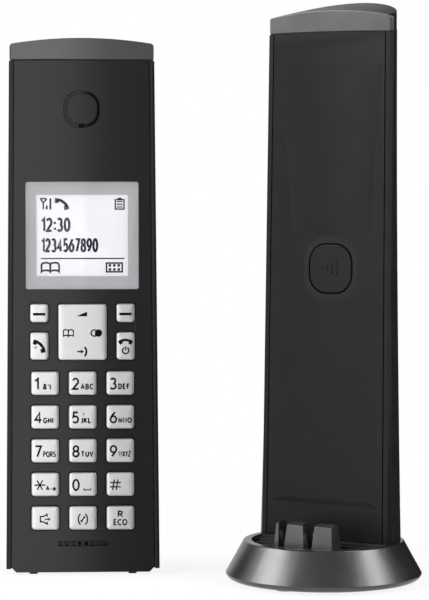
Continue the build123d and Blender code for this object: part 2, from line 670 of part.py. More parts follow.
def handset_speaker():
    """Loudspeaker against the sloping back wall, behind its grille."""
    slope = degrees(atan((HANDSET_DEPTH - HANDSET_DEPTH_TOP) / (CAP_SEAM_EDGE - SHOULDER_Z)))
    wall = handset_depth(SPEAKER_Z) - CASE_BACK_WALL
    magnet = rod(0, 0, SPEAKER_DIAMETER / 2, -SPEAKER_HEIGHT, 0)
    cone = rod(0, 0, SPEAKER_DIAMETER, -SPEAKER_HEIGHT / 2, 0)
    return Pos(0, wall, SPEAKER_Z) * Rot(slope, 0, 0) * (magnet + cone)


def battery_cells():
    """Two cells side by side, one each way up."""
    cells = []
    for side in (-1, 1):
        middle = (TRAY_BOTTOM + TRAY_TOP) / 2
        start = TRAY_BOTTOM + SPRING_LENGTH
        cell = upright(0, 0, CELL_DIAMETER, start, start + CELL_LENGTH)
        cell += upright(0, 0, CELL_NUB_DIAMETER, start + CELL_LENGTH, start + CELL_LENGTH + CELL_NUB_HEIGHT)
        if side > 0:
            cell = Pos(0, 0, middle) * Rot(180, 0, 0) * Pos(0, 0, -middle) * cell
        cells.append(Pos(side * CELL_SPACING / 2, CELL_Y, 0) * cell)
    return Part() + cells


def battery_springs():
    """Bent leaf at the flat end of each cell."""
    leaves = []
    for side in (-1, 1):
        low, high = TRAY_BOTTOM, TRAY_BOTTOM + SPRING_LENGTH
        back = CELL_Y + TERMINAL_WIDTH / 2
        front = CELL_Y - TERMINAL_WIDTH / 2
        sheet = TERMINAL_THICKNESS
        bend = [(back, low), (front, low), (front, low + sheet), (back - 2 * sheet, low + sheet),
                (CELL_Y, high - sheet), (front, high - 2 * sheet), (front, high - sheet), (CELL_Y, high),
                (back, low + sheet)]
        leaf = extrude(Plane.YZ * make_face(Polyline(*bend, close=True)), amount=SPRING_WIDTH / 2, both=True)
        if side > 0:
            middle = (TRAY_BOTTOM + TRAY_TOP) / 2
            leaf = Pos(0, 0, middle) * mirror(Pos(0, 0, -middle) * leaf, about=Plane.XY)
        leaves.append(Pos(side * CELL_SPACING / 2, 0, 0) * leaf)
    return Part() + leaves


def battery_terminals():
    """Flat plate at the button end of each cell."""
    plates = []
    for side in (-1, 1):
        x = side * CELL_SPACING / 2
        bottom = TRAY_TOP - TERMINAL_THICKNESS if side < 0 else TRAY_BOTTOM
        plates.append(block(x - TERMINAL_WIDTH / 2, x + TERMINAL_WIDTH / 2, CELL_Y - TERMINAL_WIDTH / 2,
                            CELL_Y + TERMINAL_WIDTH / 2, bottom, bottom + TERMINAL_THICKNESS))
    return Part() + plates


def battery_cover():
    """Sliding cover that carries the line of the upper back down over the batteries."""
    keep = block(-HANDSET_WIDTH_BOTTOM, HANDSET_WIDTH_BOTTOM, BACK_PLANE + COVER_CLEARANCE,
                 HANDSET_DEPTH + PAST, COVER_BOTTOM, COVER_TOP)
    cover = case_form() & keep
    for i in range(COVER_GRIP_COUNT):
        z = COVER_BOTTOM + COVER_GRIP_LENGTH / 2 + i * COVER_GRIP_PITCH
        groove = Pos(0, z) * SlotOverall(COVER_GRIP_LENGTH, COVER_GRIP_WIDTH)
        cover -= slab(groove, HANDSET_DEPTH - COVER_GRIP_DEPTH, HANDSET_DEPTH + PAST)
    return cover + [cover_runner(side) for side in (-1, 1)]


def handset_charge_contacts():
    """Two metal blades in the dock well that drop into the cradle's slots."""
    top = CRADLE_TOP - DOCK_Z + DOCK_CLEARANCE
    front = CRADLE_FRONT + DOCK_SHIFT
    blades = []
    for x in slot_centres():
        blades.append(block(x - CONTACT_THICKNESS / 2, x + CONTACT_THICKNESS / 2, front + CRADLE_NOSE,
                            front + CRADLE_DEPTH / 2, top - CONTACT_HEIGHT, top))
    return Part() + blades


def handset_screws():
    """Four screws that draw the rear case and the faceplate together."""
    head_front = BACK_PLANE - SCREW_HEAD_HEIGHT
    screws = []
    for x, z in screw_places():
        screw = rod(x, z, SCREW_HEAD_DIAMETER, head_front, BACK_PLANE)
        screws.append(screw + rod(x, z, SCREW_SHANK_DIAMETER, head_front - SCREW_LENGTH, head_front))
    return Part() + screws


# Tower


def cradle_spans():
    """Left and right of each cradle finger."""
    spans = []
    left = CRADLE_LEFT
    for width, slot in zip(CRADLE_FINGERS, CRADLE_SLOTS + (0.0,)):
        spans.append((left, left + width))
        left += width + slot
    return spans


def slot_centres():
    """Middle of each slot between the fingers."""
    spans = cradle_spans()
    return [(left[1] + right[0]) / 2 for left, right in zip(spans, spans[1:])]


def foot_cover():
    """Conical foot with a rounded skirt, and a pan that steps down in front of the column."""
    low = (FOOT_BOTTOM_RADIUS, FOOT_BOTTOM)
    widest = (FOOT_WIDEST_RADIUS, FOOT_WIDEST_Z)
    skirt = SagittaArc(low, widest, -FOOT_SKIRT_BULGE)
    outside = Polyline(widest, (FOOT_TOP_RADIUS, FOOT_TOP), (0, FOOT_TOP), (0, FOOT_BOTTOM), low)
    foot = revolve(Plane.XZ * make_face(skirt + outside), Axis.Z)
    foot = fillet(foot.edges().filter_by(GeomType.CIRCLE).sort_by(Axis.Z)[-1], FOOT_RIM_EDGE)
    roof = PAN_FLOOR - PAN_FLOOR_THICKNESS
    slope = (FOOT_WIDEST_RADIUS - FOOT_TOP_RADIUS) / (FOOT_TOP - FOOT_WIDEST_Z)
    roof_radius = FOOT_TOP_RADIUS + slope * (FOOT_TOP - roof) - FOOT_WALL
    inside = Polyline((0, BOTTOM_PLATE_TOP), (FOOT_WIDEST_RADIUS - 2 * FOOT_WALL, BOTTOM_PLATE_TOP),
                      (roof_radius, roof), (0, roof), close=True)
    foot -= revolve(Plane.XZ * make_face(inside), Axis.Z)
    seat = bottom_plate_radius() + BOTTOM_PLATE_CLEARANCE
    foot -= upright(0, 0, 2 * seat, FOOT_BOTTOM - PAST, BOTTOM_PLATE_TOP)
    boss_top = roof + PAN_FLOOR_THICKNESS / 2
    bosses = [upright(x, y, BOSS_DIAMETER, BOTTOM_PLATE_TOP, boss_top) for x, y in tower_screw_places()]
    pilot = SCREW_SHANK_DIAMETER + SCREW_CLEARANCE
    screw_tip = FOOT_BOTTOM + SCREW_HEAD_HEIGHT + TOWER_SCREW_LENGTH + SCREW_CLEARANCE
    holes = [upright(x, y, pilot, FOOT_BOTTOM, screw_tip) for x, y in tower_screw_places()]
    return (foot - pan()) + bosses - holes


def pan():
    """Room in front of the column: steps down from the column's foot to the pan's floor."""
    room = upright(0, 0, 2 * PAN_RADIUS, PAN_FLOOR, FOOT_TOP + PAST)
    room -= block(-PAN_RADIUS, PAN_RADIUS, COLUMN_FRONT_BOTTOM, PAN_RADIUS + PAST, 0, FOOT_TOP + 2 * PAST)
    return room - pan_steps()


def pan_steps():
    """Steps between the column's foot and the floor of the pan."""
    drop = (FOOT_TOP - PAN_FLOOR) / (PAN_STEP_COUNT + 1)
    steps = []
    for i in range(PAN_STEP_COUNT):
        front = COLUMN_FRONT_BOTTOM - (i + 1) * PAN_STEP_RUN
        steps.append(block(-PAN_RADIUS, PAN_RADIUS, front, PAN_RADIUS, 0, FOOT_TOP - (i + 1) * drop))
    return steps


def bottom_plate_radius():
    """Radius of the plate that closes the foot from below."""
    return FOOT_BOTTOM_RADIUS - FOOT_WALL


def ring_places(radius, count, start=0.0):
    """Places spread evenly round the foot's axis."""
    turns = [radians(start + 360 * i / count) for i in range(count)]
    return [(radius * cos(turn), radius * sin(turn)) for turn in turns]


def tower_screw_places():
    """Screws through the bottom plate."""
    return ring_places(TOWER_SCREW_RADIUS, TOWER_SCREW_COUNT, TOWER_SCREW_TURN)


def rubber_foot_places():
    """Rubber feet under the bottom plate."""
    return ring_places(RUBBER_FOOT_RADIUS, RUBBER_FOOT_COUNT)


def bottom_plate():
    """Round plate under the foot, with seats for the rubber feet and sunk screw holes."""
    plate = upright(0, 0, 2 * bottom_plate_radius(), FOOT_BOTTOM, BOTTOM_PLATE_TOP)
    plate -= [upright(x, y, RUBBER_FOOT_DIAMETER, FOOT_BOTTOM - PAST, FOOT_BOTTOM + RUBBER_FOOT_SEAT)
              for x, y in rubber_foot_places()]
    plate -= [upright(x, y, SCREW_HEAD_DIAMETER + 2 * SCREW_CLEARANCE, FOOT_BOTTOM - PAST,
                      FOOT_BOTTOM + SCREW_HEAD_HEIGHT) for x, y in tower_screw_places()]
    return plate - [upright(x, y, SCREW_SHANK_DIAMETER + SCREW_CLEARANCE, FOOT_BOTTOM, BOTTOM_PLATE_TOP)
                    for x, y in tower_screw_places()]


def rubber_feet():
    """Four round rubber feet."""
    top = FOOT_BOTTOM + RUBBER_FOOT_SEAT
    return Part() + [upright(x, y, RUBBER_FOOT_DIAMETER, 0, top) for x, y in rubber_foot_places()]


def tower_screws():
    """Screws that hold the bottom plate to the foot."""
    screws = []
    for x, y in tower_screw_places():
        head_top = FOOT_BOTTOM + SCREW_HEAD_HEIGHT
        screw = upright(x, y, SCREW_HEAD_DIAMETER, FOOT_BOTTOM, head_top)
        screws.append(screw + upright(x, y, SCREW_SHANK_DIAMETER, head_top, head_top + TOWER_SCREW_LENGTH))
    return Part() + screws


def column_front(z):
    """Depth of the column's leaning face at a height."""
    return lerp(z, FOOT_TOP, COLUMN_FRONT_BOTTOM, COLUMN_TOP, COLUMN_FRONT_TOP)


def column_face_half(z):
    """Half the width of the column's face at a height."""
    return lerp(z, FOOT_TOP, COLUMN_FACE_BOTTOM / 2, COLUMN_TOP, COLUMN_FACE_TOP / 2)


def column_section(z, shoulder_half, inset=0.0):
    """Plan of the column: flat face, chamfered shoulders and a round back."""
    face = column_face_half(z) - inset
    front = column_front(z) + inset
    shoulder = front + SHOULDER_SET_BACK
    half = shoulder_half - inset
    back = lerp(z, FOOT_TOP, COLUMN_BACK_BOTTOM, COLUMN_TOP, COLUMN_BACK_TOP) - inset
    sides = Polyline((-half, shoulder), (-face, front), (face, front), (half, shoulder))
    return Pos(0, 0, z) * make_face(sides + ThreePointArc((half, shoulder), (0, back), (-half, shoulder)))


def column_form():
    """Outside of the column, slim at the middle and flaring to its foot."""
    sections = [column_section(FOOT_TOP, COLUMN_SHOULDER_BOTTOM / 2),
                column_section(COLUMN_MIDDLE_Z, COLUMN_SHOULDER_MIDDLE / 2),
                column_section(COLUMN_TOP + PAST, COLUMN_SHOULDER_TOP / 2)]
    return loft(sections)


def column_cavity(z):
    """Plan of the hollow inside the column."""
    front = column_front(z) + PANEL_THICKNESS
    half = column_face_half(z) - COLUMN_RAIL_WIDTH - PANEL_LEDGE
    back = lerp(z, FOOT_TOP, COLUMN_BACK_BOTTOM, COLUMN_TOP, COLUMN_BACK_TOP) - COLUMN_WALL
    arc = ThreePointArc((half, front), (0, back), (-half, front))
    return Pos(0, 0, z) * make_face(arc + Line((-half, front), (half, front)))


def panel_area(clearance, bottom):
    """Front view of the column's panel or, grown by its groove, of the opening for it."""
    top = COLUMN_TOP + PAST
    low = column_face_half(bottom) - COLUMN_RAIL_WIDTH - COLUMN_GROOVE + clearance
    high = column_face_half(top) - COLUMN_RAIL_WIDTH - COLUMN_GROOVE + clearance
    return tapered_area(low, bottom, high, top)


def pitched(area):
    """Front-view area carried back through the column along the pitch of its cap."""
    run = COLUMN_BACK_BOTTOM + 3 * PAST
    pitch = radians(TOWER_CAP_PITCH)
    face = Plane.XZ.offset(-COLUMN_FRONT_TOP) * area
    start = Pos(0, -2 * PAST, -2 * PAST * tan(pitch)) * face
    return extrude(start, amount=run / cos(pitch), dir=(0, cos(pitch), sin(pitch)))


def tower_region(edge, crown):
    """Everything in the tower below an arch that rises towards the back."""
    return pitched(area_under(edge, crown, COLUMN_SHOULDER_BOTTOM))


def seam_arch(rise=0.0):
    """Arch of the seam under the tower's cap, wide enough to span the column."""
    bulge = TOWER_SEAM_RISE * (COLUMN_SHOULDER_BOTTOM / (COLUMN_FACE_TOP / 2)) ** 2
    return TOWER_SEAM + TOWER_SEAM_RISE - bulge + rise, TOWER_SEAM + TOWER_SEAM_RISE + rise


def cap_prism(inset):
    """Upright block with the plan of the column's top."""
    plan = column_section(COLUMN_TOP, COLUMN_SHOULDER_TOP / 2, inset)
    return extrude(Pos(0, 0, -3 * PAST) * plan, amount=8 * PAST, dir=(0, 0, 1))


def column_rear_shell():
    """Round-backed column with side rails, open in front for the panel, and a bay for the sockets."""
    shell = column_form() & tower_region(*seam_arch())
    floor = FOOT_TOP + COLUMN_WALL
    roof = TOWER_SEAM - 2 * COLUMN_WALL
    cavity = loft([column_cavity(floor), column_cavity(roof)], ruled=True)
    bay = block(-SOCKET_BAY_HALF_WIDTH, SOCKET_BAY_HALF_WIDTH, SOCKET_BAY_FLOOR, COLUMN_BACK_BOTTOM + PAST,
                SOCKET_BAY_BOTTOM, SOCKET_BAY_TOP)
    bay_wall = block(-SOCKET_BAY_HALF_WIDTH - COLUMN_WALL, SOCKET_BAY_HALF_WIDTH + COLUMN_WALL,
                     SOCKET_BAY_FLOOR - COLUMN_WALL, COLUMN_BACK_BOTTOM + PAST,
                     SOCKET_BAY_BOTTOM - COLUMN_WALL, SOCKET_BAY_TOP + COLUMN_WALL)
    shell -= cavity - bay_wall
    shell -= bay
    neck = cap_prism(NECK_INSET) & tower_region(*seam_arch(CAP_GAP))
    shell += neck - tower_region(*seam_arch(-COLUMN_WALL))
    opening = slab(panel_area(COLUMN_GROOVE, FOOT_TOP), -PAST, PANEL_THICKNESS)
    shell -= PANEL_PLACE * opening
    inside = SOCKET_BAY_FLOOR - 2 * COLUMN_WALL
    shell -= slab(line_socket_area(SOCKET_RIM + SOCKET_CLEARANCE), inside, SOCKET_BAY_FLOOR + PAST)
    nose_room = POWER_SOCKET_DIAMETER + 2 * SOCKET_RIM + 2 * SOCKET_CLEARANCE
    return shell - rod(POWER_SOCKET_X, SOCKET_Z, nose_room, inside, SOCKET_BAY_FLOOR + PAST)


def hollow_floor(z):
    """Depth of the hollow's floor between its ramp and the place above the button where it is deepest."""
    return lerp(z, HOLLOW_BOTTOM + HOLLOW_RAMP, HOLLOW_DEPTH_BOTTOM, HOLLOW_DEEPEST_Z, HOLLOW_DEPTH)


def hollow_profile(extra=0.0):
    """Side view of the panel's hollow: a ramp, a floor that deepens, and a long sweep out to the face."""
    low = HOLLOW_BOTTOM - extra
    ramp_top = (HOLLOW_DEPTH_BOTTOM + extra, HOLLOW_BOTTOM + HOLLOW_RAMP)
    deep = (HOLLOW_DEPTH + extra, HOLLOW_DEEPEST_Z)
    out = (0, HOLLOW_TOP + extra)
    sweep = TangentArc(deep, out, tangent=(deep[0] - ramp_top[0], deep[1] - ramp_top[1]))
    walls = Polyline(out, (-PAST, HOLLOW_TOP + extra), (-PAST, low), (0, low), ramp_top, deep)
    return extrude(Plane.YZ * make_face(walls + sweep), amount=COLUMN_FACE_BOTTOM, both=True)


def hollow_plan(extra=0.0):
    """Plan of the panel's hollow, with sloping sides."""
    reach = HOLLOW_DEPTH + PANEL_THICKNESS + extra
    wide = HOLLOW_HALF_WIDTH + extra + PAST * HOLLOW_SIDE_SLOPE
    narrow = HOLLOW_HALF_WIDTH + extra - reach * HOLLOW_SIDE_SLOPE
    plan = Polyline((-wide, -PAST), (wide, -PAST), (narrow, reach), (-narrow, reach), close=True)
    return extrude(make_face(plan), amount=COLUMN_TOP)


def column_front_panel():
    """Front panel between the rails, with the hollow for the handset's back and the button's opening."""
    area = panel_area(0, FOOT_TOP + PANEL_FOOT_GAP)
    panel = slab(area, 0, PANEL_THICKNESS)
    backing = hollow_profile(PANEL_THICKNESS) & hollow_plan(HOLLOW_SIDE_WALL)
    panel += backing & slab(area, 0, HOLLOW_DEPTH + 2 * PANEL_THICKNESS)
    panel += [rod(x, z, STANDOFF_DIAMETER, PANEL_THICKNESS / 2, TOWER_BOARD_FRONT)
              for x in (-STANDOFF_X, STANDOFF_X) for z in STANDOFF_HEIGHTS]
    panel -= hollow_profile() & hollow_plan()
    opening = key_area(0, PAGING_Z, PAGING_WIDTH, PAGING_HEIGHT, PAGING_RADIUS, PAGING_CLEARANCE)
    panel -= slab(opening, 0, HOLLOW_DEPTH + PANEL_THICKNESS + PAST)
    return PANEL_PLACE * panel & tower_region(*seam_arch())


def paging_button():
    """Paging button in the hollow, with a flange and a stem behind the panel."""
    place = (0, PAGING_Z, PAGING_WIDTH, PAGING_HEIGHT, PAGING_RADIUS)
    face = hollow_floor(PAGING_Z - PAGING_HEIGHT / 2) - PAGING_PROUD
    cap = slab(key_area(*place), face, PAGING_FLANGE_FRONT)
    cap = chamfer(cap.faces().sort_by(Axis.Y)[0].edges(), PAGING_BEVEL)
    flange_back = PAGING_FLANGE_FRONT + PAGING_FLANGE_THICKNESS
    cap += slab(key_area(*place, PAGING_FLANGE), PAGING_FLANGE_FRONT, flange_back)
    return PANEL_PLACE * (cap + rod(0, PAGING_Z, PAGING_STEM_DIAMETER, flange_back, PAGING_STEM_BACK))


def paging_switch():
    """Press switch on the board behind the button."""
    plunger_back = SWITCH_FRONT + SWITCH_PLUNGER_HEIGHT
    body = slab(Pos(0, PAGING_Z) * Rectangle(SWITCH_SIZE, SWITCH_SIZE), plunger_back, TOWER_BOARD_FRONT)
    return PANEL_PLACE * (body + rod(0, PAGING_Z, SWITCH_PLUNGER_DIAMETER, SWITCH_FRONT, plunger_back))


def tower_circuit_board():
    """Board on the panel's standoffs."""
    height = TOWER_BOARD_TOP - TOWER_BOARD_BOTTOM
    face = Pos(0, TOWER_BOARD_BOTTOM + height / 2) * Rectangle(2 * TOWER_BOARD_HALF_WIDTH, height)
    return PANEL_PLACE * slab(face, TOWER_BOARD_FRONT, TOWER_BOARD_FRONT + BOARD_THICKNESS)


def cap_block():
    """Whole of the tower's cap before its bright front is split off."""
    top = area_under(TOWER_CAP_CORNER, TOWER_CAP_CROWN, COLUMN_SHOULDER_TOP / 2)
    top = fillet(top.vertices().group_by(Axis.Y)[-1], TOWER_CAP_EDGE_RADIUS)
    return (cap_prism(CAP_INSET) & pitched(top)) - tower_region(*seam_arch(CAP_GAP))


def cap_split():
    """Room in front of the plane that parts the cap's trim from the cap."""
    reach = COLUMN_FRONT_TOP + CAP_INSET + TOWER_CAP_TRIM
    return block(-COLUMN_SHOULDER_BOTTOM, COLUMN_SHOULDER_BOTTOM, -2 * PAST, reach,
                 TOWER_SEAM - PAST, TOWER_CAP_CROWN + 3 * PAST)


def column_top_cap():
    """Dark cap on top of the column."""
    return cap_block() - cap_split()


def column_cap_trim():
    """Bright strip across the front of the cap."""
    return cap_block() & cap_split()


def charge_cradle():
    """Block of three drafted fingers with two slots for the contacts."""
    roots = cradle_spans()
    back = CRADLE_FRONT + CRADLE_DEPTH
    fingers = block(roots[0][0], roots[-1][1], CRADLE_FRONT, back, PAN_FLOOR, FOOT_TOP - CRADLE_NOSE)
    nose = [(CRADLE_FRONT, PAN_FLOOR), (back, PAN_FLOOR),
            (back - CRADLE_DRAFT / 2, CRADLE_TOP - CRADLE_NOSE / 2), (back - CRADLE_NOSE, CRADLE_TOP),
            (CRADLE_FRONT + CRADLE_NOSE + CRADLE_DRAFT, CRADLE_TOP),
            (CRADLE_FRONT + CRADLE_DRAFT, CRADLE_TOP - CRADLE_NOSE / 2)]
    side_view = extrude(Plane.YZ * make_face(Polyline(*nose, close=True)), amount=FOOT_TOP_RADIUS, both=True)
    for left, right in roots:
        draft = min(CRADLE_DRAFT, (right - left) / 4)
        front_view = make_face(Polyline((left, PAN_FLOOR), (right, PAN_FLOOR), (right - draft, CRADLE_TOP),
                                        (left + draft, CRADLE_TOP), close=True))
        fingers += slab(front_view, CRADLE_FRONT, back) & side_view
    return fingers - pan_steps()


def charge_contacts():
    """Spring contacts at the back of the cradle's slots."""
    base = FOOT_TOP - CRADLE_NOSE
    back = CRADLE_FRONT + CRADLE_DEPTH - CRADLE_NOSE / 2
    contacts = [block(x - CONTACT_WIDTH / 2, x + CONTACT_WIDTH / 2, back - 2 * CONTACT_THICKNESS, back,
                      base, base + CONTACT_HEIGHT) for x in slot_centres()]
    return Part() + contacts


def line_socket_area(grow=0.0):
    """Front view of the line socket's mouth, or of the rim round it."""
    mouth = Rectangle(LINE_SOCKET_WIDTH + 2 * grow, LINE_SOCKET_HEIGHT + 2 * grow)
    return Pos(LINE_SOCKET_X, SOCKET_Z) * mouth


def line_jack():
    """Modular line socket that faces the back through the bay's wall."""
    wall = SOCKET_BAY_FLOOR - COLUMN_WALL
    body = slab(Pos(LINE_SOCKET_X, SOCKET_Z) * Rectangle(LINE_BODY_WIDTH, LINE_BODY_HEIGHT),
                wall - SOCKET_BODY_DEPTH, wall)
    body += slab(line_socket_area(SOCKET_RIM), wall, SOCKET_BAY_FLOOR)
    return body - slab(line_socket_area(), SOCKET_BAY_FLOOR - LINE_SOCKET_DEPTH, SOCKET_BAY_FLOOR + PAST)


def power_jack():
    """Round power socket with its centre pin, beside the line socket."""
    wall = SOCKET_BAY_FLOOR - COLUMN_WALL
    body = slab(Pos(POWER_SOCKET_X, SOCKET_Z) * Rectangle(POWER_BODY_SIZE, POWER_BODY_SIZE),
                wall - SOCKET_BODY_DEPTH, wall)
    nose = POWER_SOCKET_DIAMETER + 2 * SOCKET_RIM
    body += rod(POWER_SOCKET_X, SOCKET_Z, nose, wall, SOCKET_BAY_FLOOR)
    deep = SOCKET_BAY_FLOOR - LINE_SOCKET_DEPTH
    body -= rod(POWER_SOCKET_X, SOCKET_Z, POWER_SOCKET_DIAMETER, deep, SOCKET_BAY_FLOOR + PAST)
    pin_end = SOCKET_BAY_FLOOR - POWER_PIN_SET_BACK
    return body + rod(POWER_SOCKET_X, SOCKET_Z, POWER_PIN_DIAMETER, deep, pin_end)


handset_pieces = {
    "handset_rear_case": handset_rear_case(),
    "handset_faceplate": handset_faceplate(),
    "handset_top_cap": handset_top_cap(),
    "display_window": display_window(),
    "lcd_panel": lcd_panel(),
    "backlight": backlight(),
    "navigator_key": navigator_key(),
    "navigator_pivot": navigator_pivot(),
    "keypad_mat": keypad_mat(),
    "handset_circuit_board": handset_circuit_board(),
    "earpiece_receiver": earpiece_receiver(),
    "earpiece_mesh": earpiece_mesh(),
    "microphone": microphone(),
    "handset_speaker": handset_speaker(),
    "battery_cells": battery_cells(),
    "battery_springs": battery_springs(),
    "battery_terminals": battery_terminals(),
    "battery_cover": battery_cover(),
    "handset_charge_contacts": handset_charge_contacts(),
    "handset_screws": handset_screws(),
}
handset_pieces.update(push_keys())

tower_pieces = {
    "foot_cover": foot_cover(),
    "bottom_plate": bottom_plate(),
    "rubber_feet": rubber_feet(),
    "tower_screws": tower_screws(),
    "column_rear_shell": column_rear_shell(),
    "column_front_panel": column_front_panel(),
    "column_top_cap": column_top_cap(),
    "column_cap_trim": column_cap_trim(),
    "paging_button": paging_button(),
    "paging_switch": paging_switch(),
    "tower_circuit_board": tower_circuit_board(),
    "charge_cradle": charge_cradle(),
    "charge_contacts": charge_contacts(),
    "line_jack": line_jack(),
    "power_jack": power_jack(),
}

os.makedirs("parts", exist_ok=True)
for name, piece in tower_pieces.items():
    export_step(piece, f"parts/{name}.step")
for name, piece in handset_pieces.items():
    export_step(HANDSET_PLACE * piece, f"parts/{name}.step")
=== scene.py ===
"""Looks of a cordless phone: a slim handset standing beside its charging tower.

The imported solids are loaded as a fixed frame. Each operator dresses one piece, or a group of like pieces:
it makes the visible mesh, gives it a finish and lets it ride on the body that carries the solid.
Lengths are metres, +Z is up and the tower faces -Y. MM turns a millimetre into metres.
"""

import json
from math import atan2, cos, hypot, radians, sin
from typing import NamedTuple

import bmesh
import bpy
from bpy.props import FloatProperty, FloatVectorProperty, PointerProperty
from bpy.types import Operator, Panel, PropertyGroup
from mathutils import Matrix, Vector, geometry


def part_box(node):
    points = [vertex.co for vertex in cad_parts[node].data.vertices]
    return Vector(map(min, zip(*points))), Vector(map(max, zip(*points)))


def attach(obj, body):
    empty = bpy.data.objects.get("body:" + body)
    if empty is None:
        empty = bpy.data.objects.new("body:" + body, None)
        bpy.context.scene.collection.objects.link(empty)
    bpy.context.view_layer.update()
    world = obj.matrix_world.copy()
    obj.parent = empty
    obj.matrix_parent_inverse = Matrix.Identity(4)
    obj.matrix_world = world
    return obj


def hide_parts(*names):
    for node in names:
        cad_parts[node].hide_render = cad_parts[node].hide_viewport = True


bl_info = {
    "name": "Cordless Phone Looks",
    "version": (1, 0, 0),
    "blender": (4, 5, 0),
    "location": "3D View > Sidebar > Phone",
    "description": "Dresses the packed solids of a cordless handset and its charging tower",
    "category": "Object",
}

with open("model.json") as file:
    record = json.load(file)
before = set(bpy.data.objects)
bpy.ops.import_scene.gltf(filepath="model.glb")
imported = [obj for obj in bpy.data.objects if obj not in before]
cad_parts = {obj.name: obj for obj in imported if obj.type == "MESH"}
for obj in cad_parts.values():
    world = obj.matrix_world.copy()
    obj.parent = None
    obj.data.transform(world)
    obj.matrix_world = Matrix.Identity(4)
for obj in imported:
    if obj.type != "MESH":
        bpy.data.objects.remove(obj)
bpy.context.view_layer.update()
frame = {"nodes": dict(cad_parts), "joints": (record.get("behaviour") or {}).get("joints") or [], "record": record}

MM = 0.001

# How near points are to be joined: in a copied solid, in print, and along a rounded edge
WELD = 0.002 * MM
PRINT_WELD = WELD / 20
EDGE_WELD = WELD / 4

# Facets flatter than the first angle are joined, edges sharper than the second are rounded, and edges
# sharper than the third stay crisp
FLAT_ANGLE = radians(0.4)
SHARP_ANGLE = radians(32)
SMOOTH_ANGLE = radians(40)
EDGE_SEGMENTS = 2
CORNER_STEPS = 6
FINE_CORNER_STEPS = 12

BODY_OF = {node: body for body, nodes in frame["record"]["behaviour"]["bodies"].items() for node in nodes}

PUSH_KEYS = ("soft_key_left", "soft_key_right", "talk_key", "off_key", "key_1", "key_2", "key_3", "key_4",
             "key_5", "key_6", "key_7", "key_8", "key_9", "key_star", "key_0", "key_hash", "key_speaker",
             "key_intercom", "key_recall")

# Depths in the handset's own frame, from its face inwards
WINDOW_MIDDLE = 0.65 * MM
WINDOW_BACK = 1.19 * MM
WINDOW_SEEN = 2 * MM
LCD_FACE = 1.8 * MM
SLOT_FLOOR = 0.45 * MM
KEY_FACE = -0.9 * MM
KEY_ROOT = 2.1 * MM
KEY_BACK = 2.8 * MM
NAVIGATOR_ROOT = 2.4 * MM
NAVIGATOR_BACK = 3.1 * MM

# Keys: width of the flange, height over the root where the outline is read, least corner, and the crown as
# steps in from the rounded edge with their rise, which the print lies on
KEY_FLANGE = 0.8 * MM
KEY_OVER_ROOT = 0.5 * MM
KEY_CORNER_LEAST = 0.25 * MM
KEY_CROWN = ((0.5 * MM, 0.012 * MM), (1.6 * MM, 0.03 * MM))
PRINT_RISE = 0.03 * MM

# Touch dots, and their places from the middles of their keys
DOT_RADIUS = 0.45 * MM
DOT_HEIGHT = 0.25 * MM
DOT_PLACES = {"key_5": (0.2 * MM, 1.0 * MM), "talk_key": (-1.3 * MM, -0.4 * MM)}

# Channel round the earpiece: middle, half sizes, half length of its flat sides, width of a rim, and the depths
# of the rims, the floor and the back
EARPIECE_Z = 148.4 * MM
EARPIECE_OUTER = 5.80 * MM
EARPIECE_INNER = 4.60 * MM
EARPIECE_FLAT = 0.95 * MM
EARPIECE_RIM = 0.22 * MM
EARPIECE_DEPTHS = (0.03 * MM, 0.46 * MM, 0.58 * MM)

# Heights of the dark seams under the two caps, and how far in stand their black linings, painted shade inside the
# seams
HANDSET_SEAM = (162.4 * MM, 164.6 * MM)
TOWER_SEAM = (171.1 * MM, 172.9 * MM)
SEAM_INSET = 0.25 * MM

# Panel's hollow round the paging button: depth under the button's face, and its slope
SURROUND_DEPTH = 0.235 * MM
SURROUND_SLOPE = radians(-0.28)

# Flat zones in millimetres, as half width, half height and corner: round the paging button, and on the display
SURROUND_OUTER = (9.75, 10.25, 8.2)
SURROUND_INNER = (8.05, 8.05, 6.25)
LIT_AREA = (15.2, 13.6, 0.3)
BORDER_OPENING = (14.55, 12.95, 0.3)
BORDER_INSET = 0.05
BORDER_CORNER = 0.6

# Microphone's slot in millimetres: height of its middle, half width, half height and corner, pitch of its dimples
MICROPHONE_Z = 10
MICROPHONE_SLOT = (7.88, 0.76, 0.70)
DIMPLE_PITCH = 2.05

# Rounded edges that differ from the case's own, as lengths or as shares of it
WINDOW_EDGE = 0.12 * MM
CRADLE_EDGE = 0.4 * MM
FACEPLATE_EDGE_SHARE = 0.25
BUTTON_EDGE_SHARE = 0.5


def travel(joint):
    """Direction in which a joint moves."""
    return Vector(next(item["axis"] for item in frame["joints"] if item["name"] == joint))


def handset_place():
    """Place of the handset's own frame: x across its face, y into it, z up from the table."""
    inwards = travel("key_5_press")
    low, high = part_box("display_window")
    origin = (low + high) / 2 - inwards * WINDOW_MIDDLE
    turn = Matrix.Rotation(atan2(-inwards.x, inwards.y), 4, "Z")
    return Matrix.Translation((origin.x, origin.y, 0)) @ turn


def button_place():
    """Place of the paging button's own frame: its face's middle, y along its travel and x across."""
    inwards = travel("paging_press")
    lean = Matrix.Rotation(atan2(inwards.z, inwards.y), 4, "X")
    points = [vertex.co for vertex in frame["nodes"]["paging_button"].data.vertices]
    face = min(point.dot(inwards) for point in points)
    low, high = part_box("paging_button")
    middle = (low + high) / 2
    return Matrix.Translation(middle + inwards * (face - middle.dot(inwards))) @ lean


HANDSET = handset_place()
BUTTON = button_place()


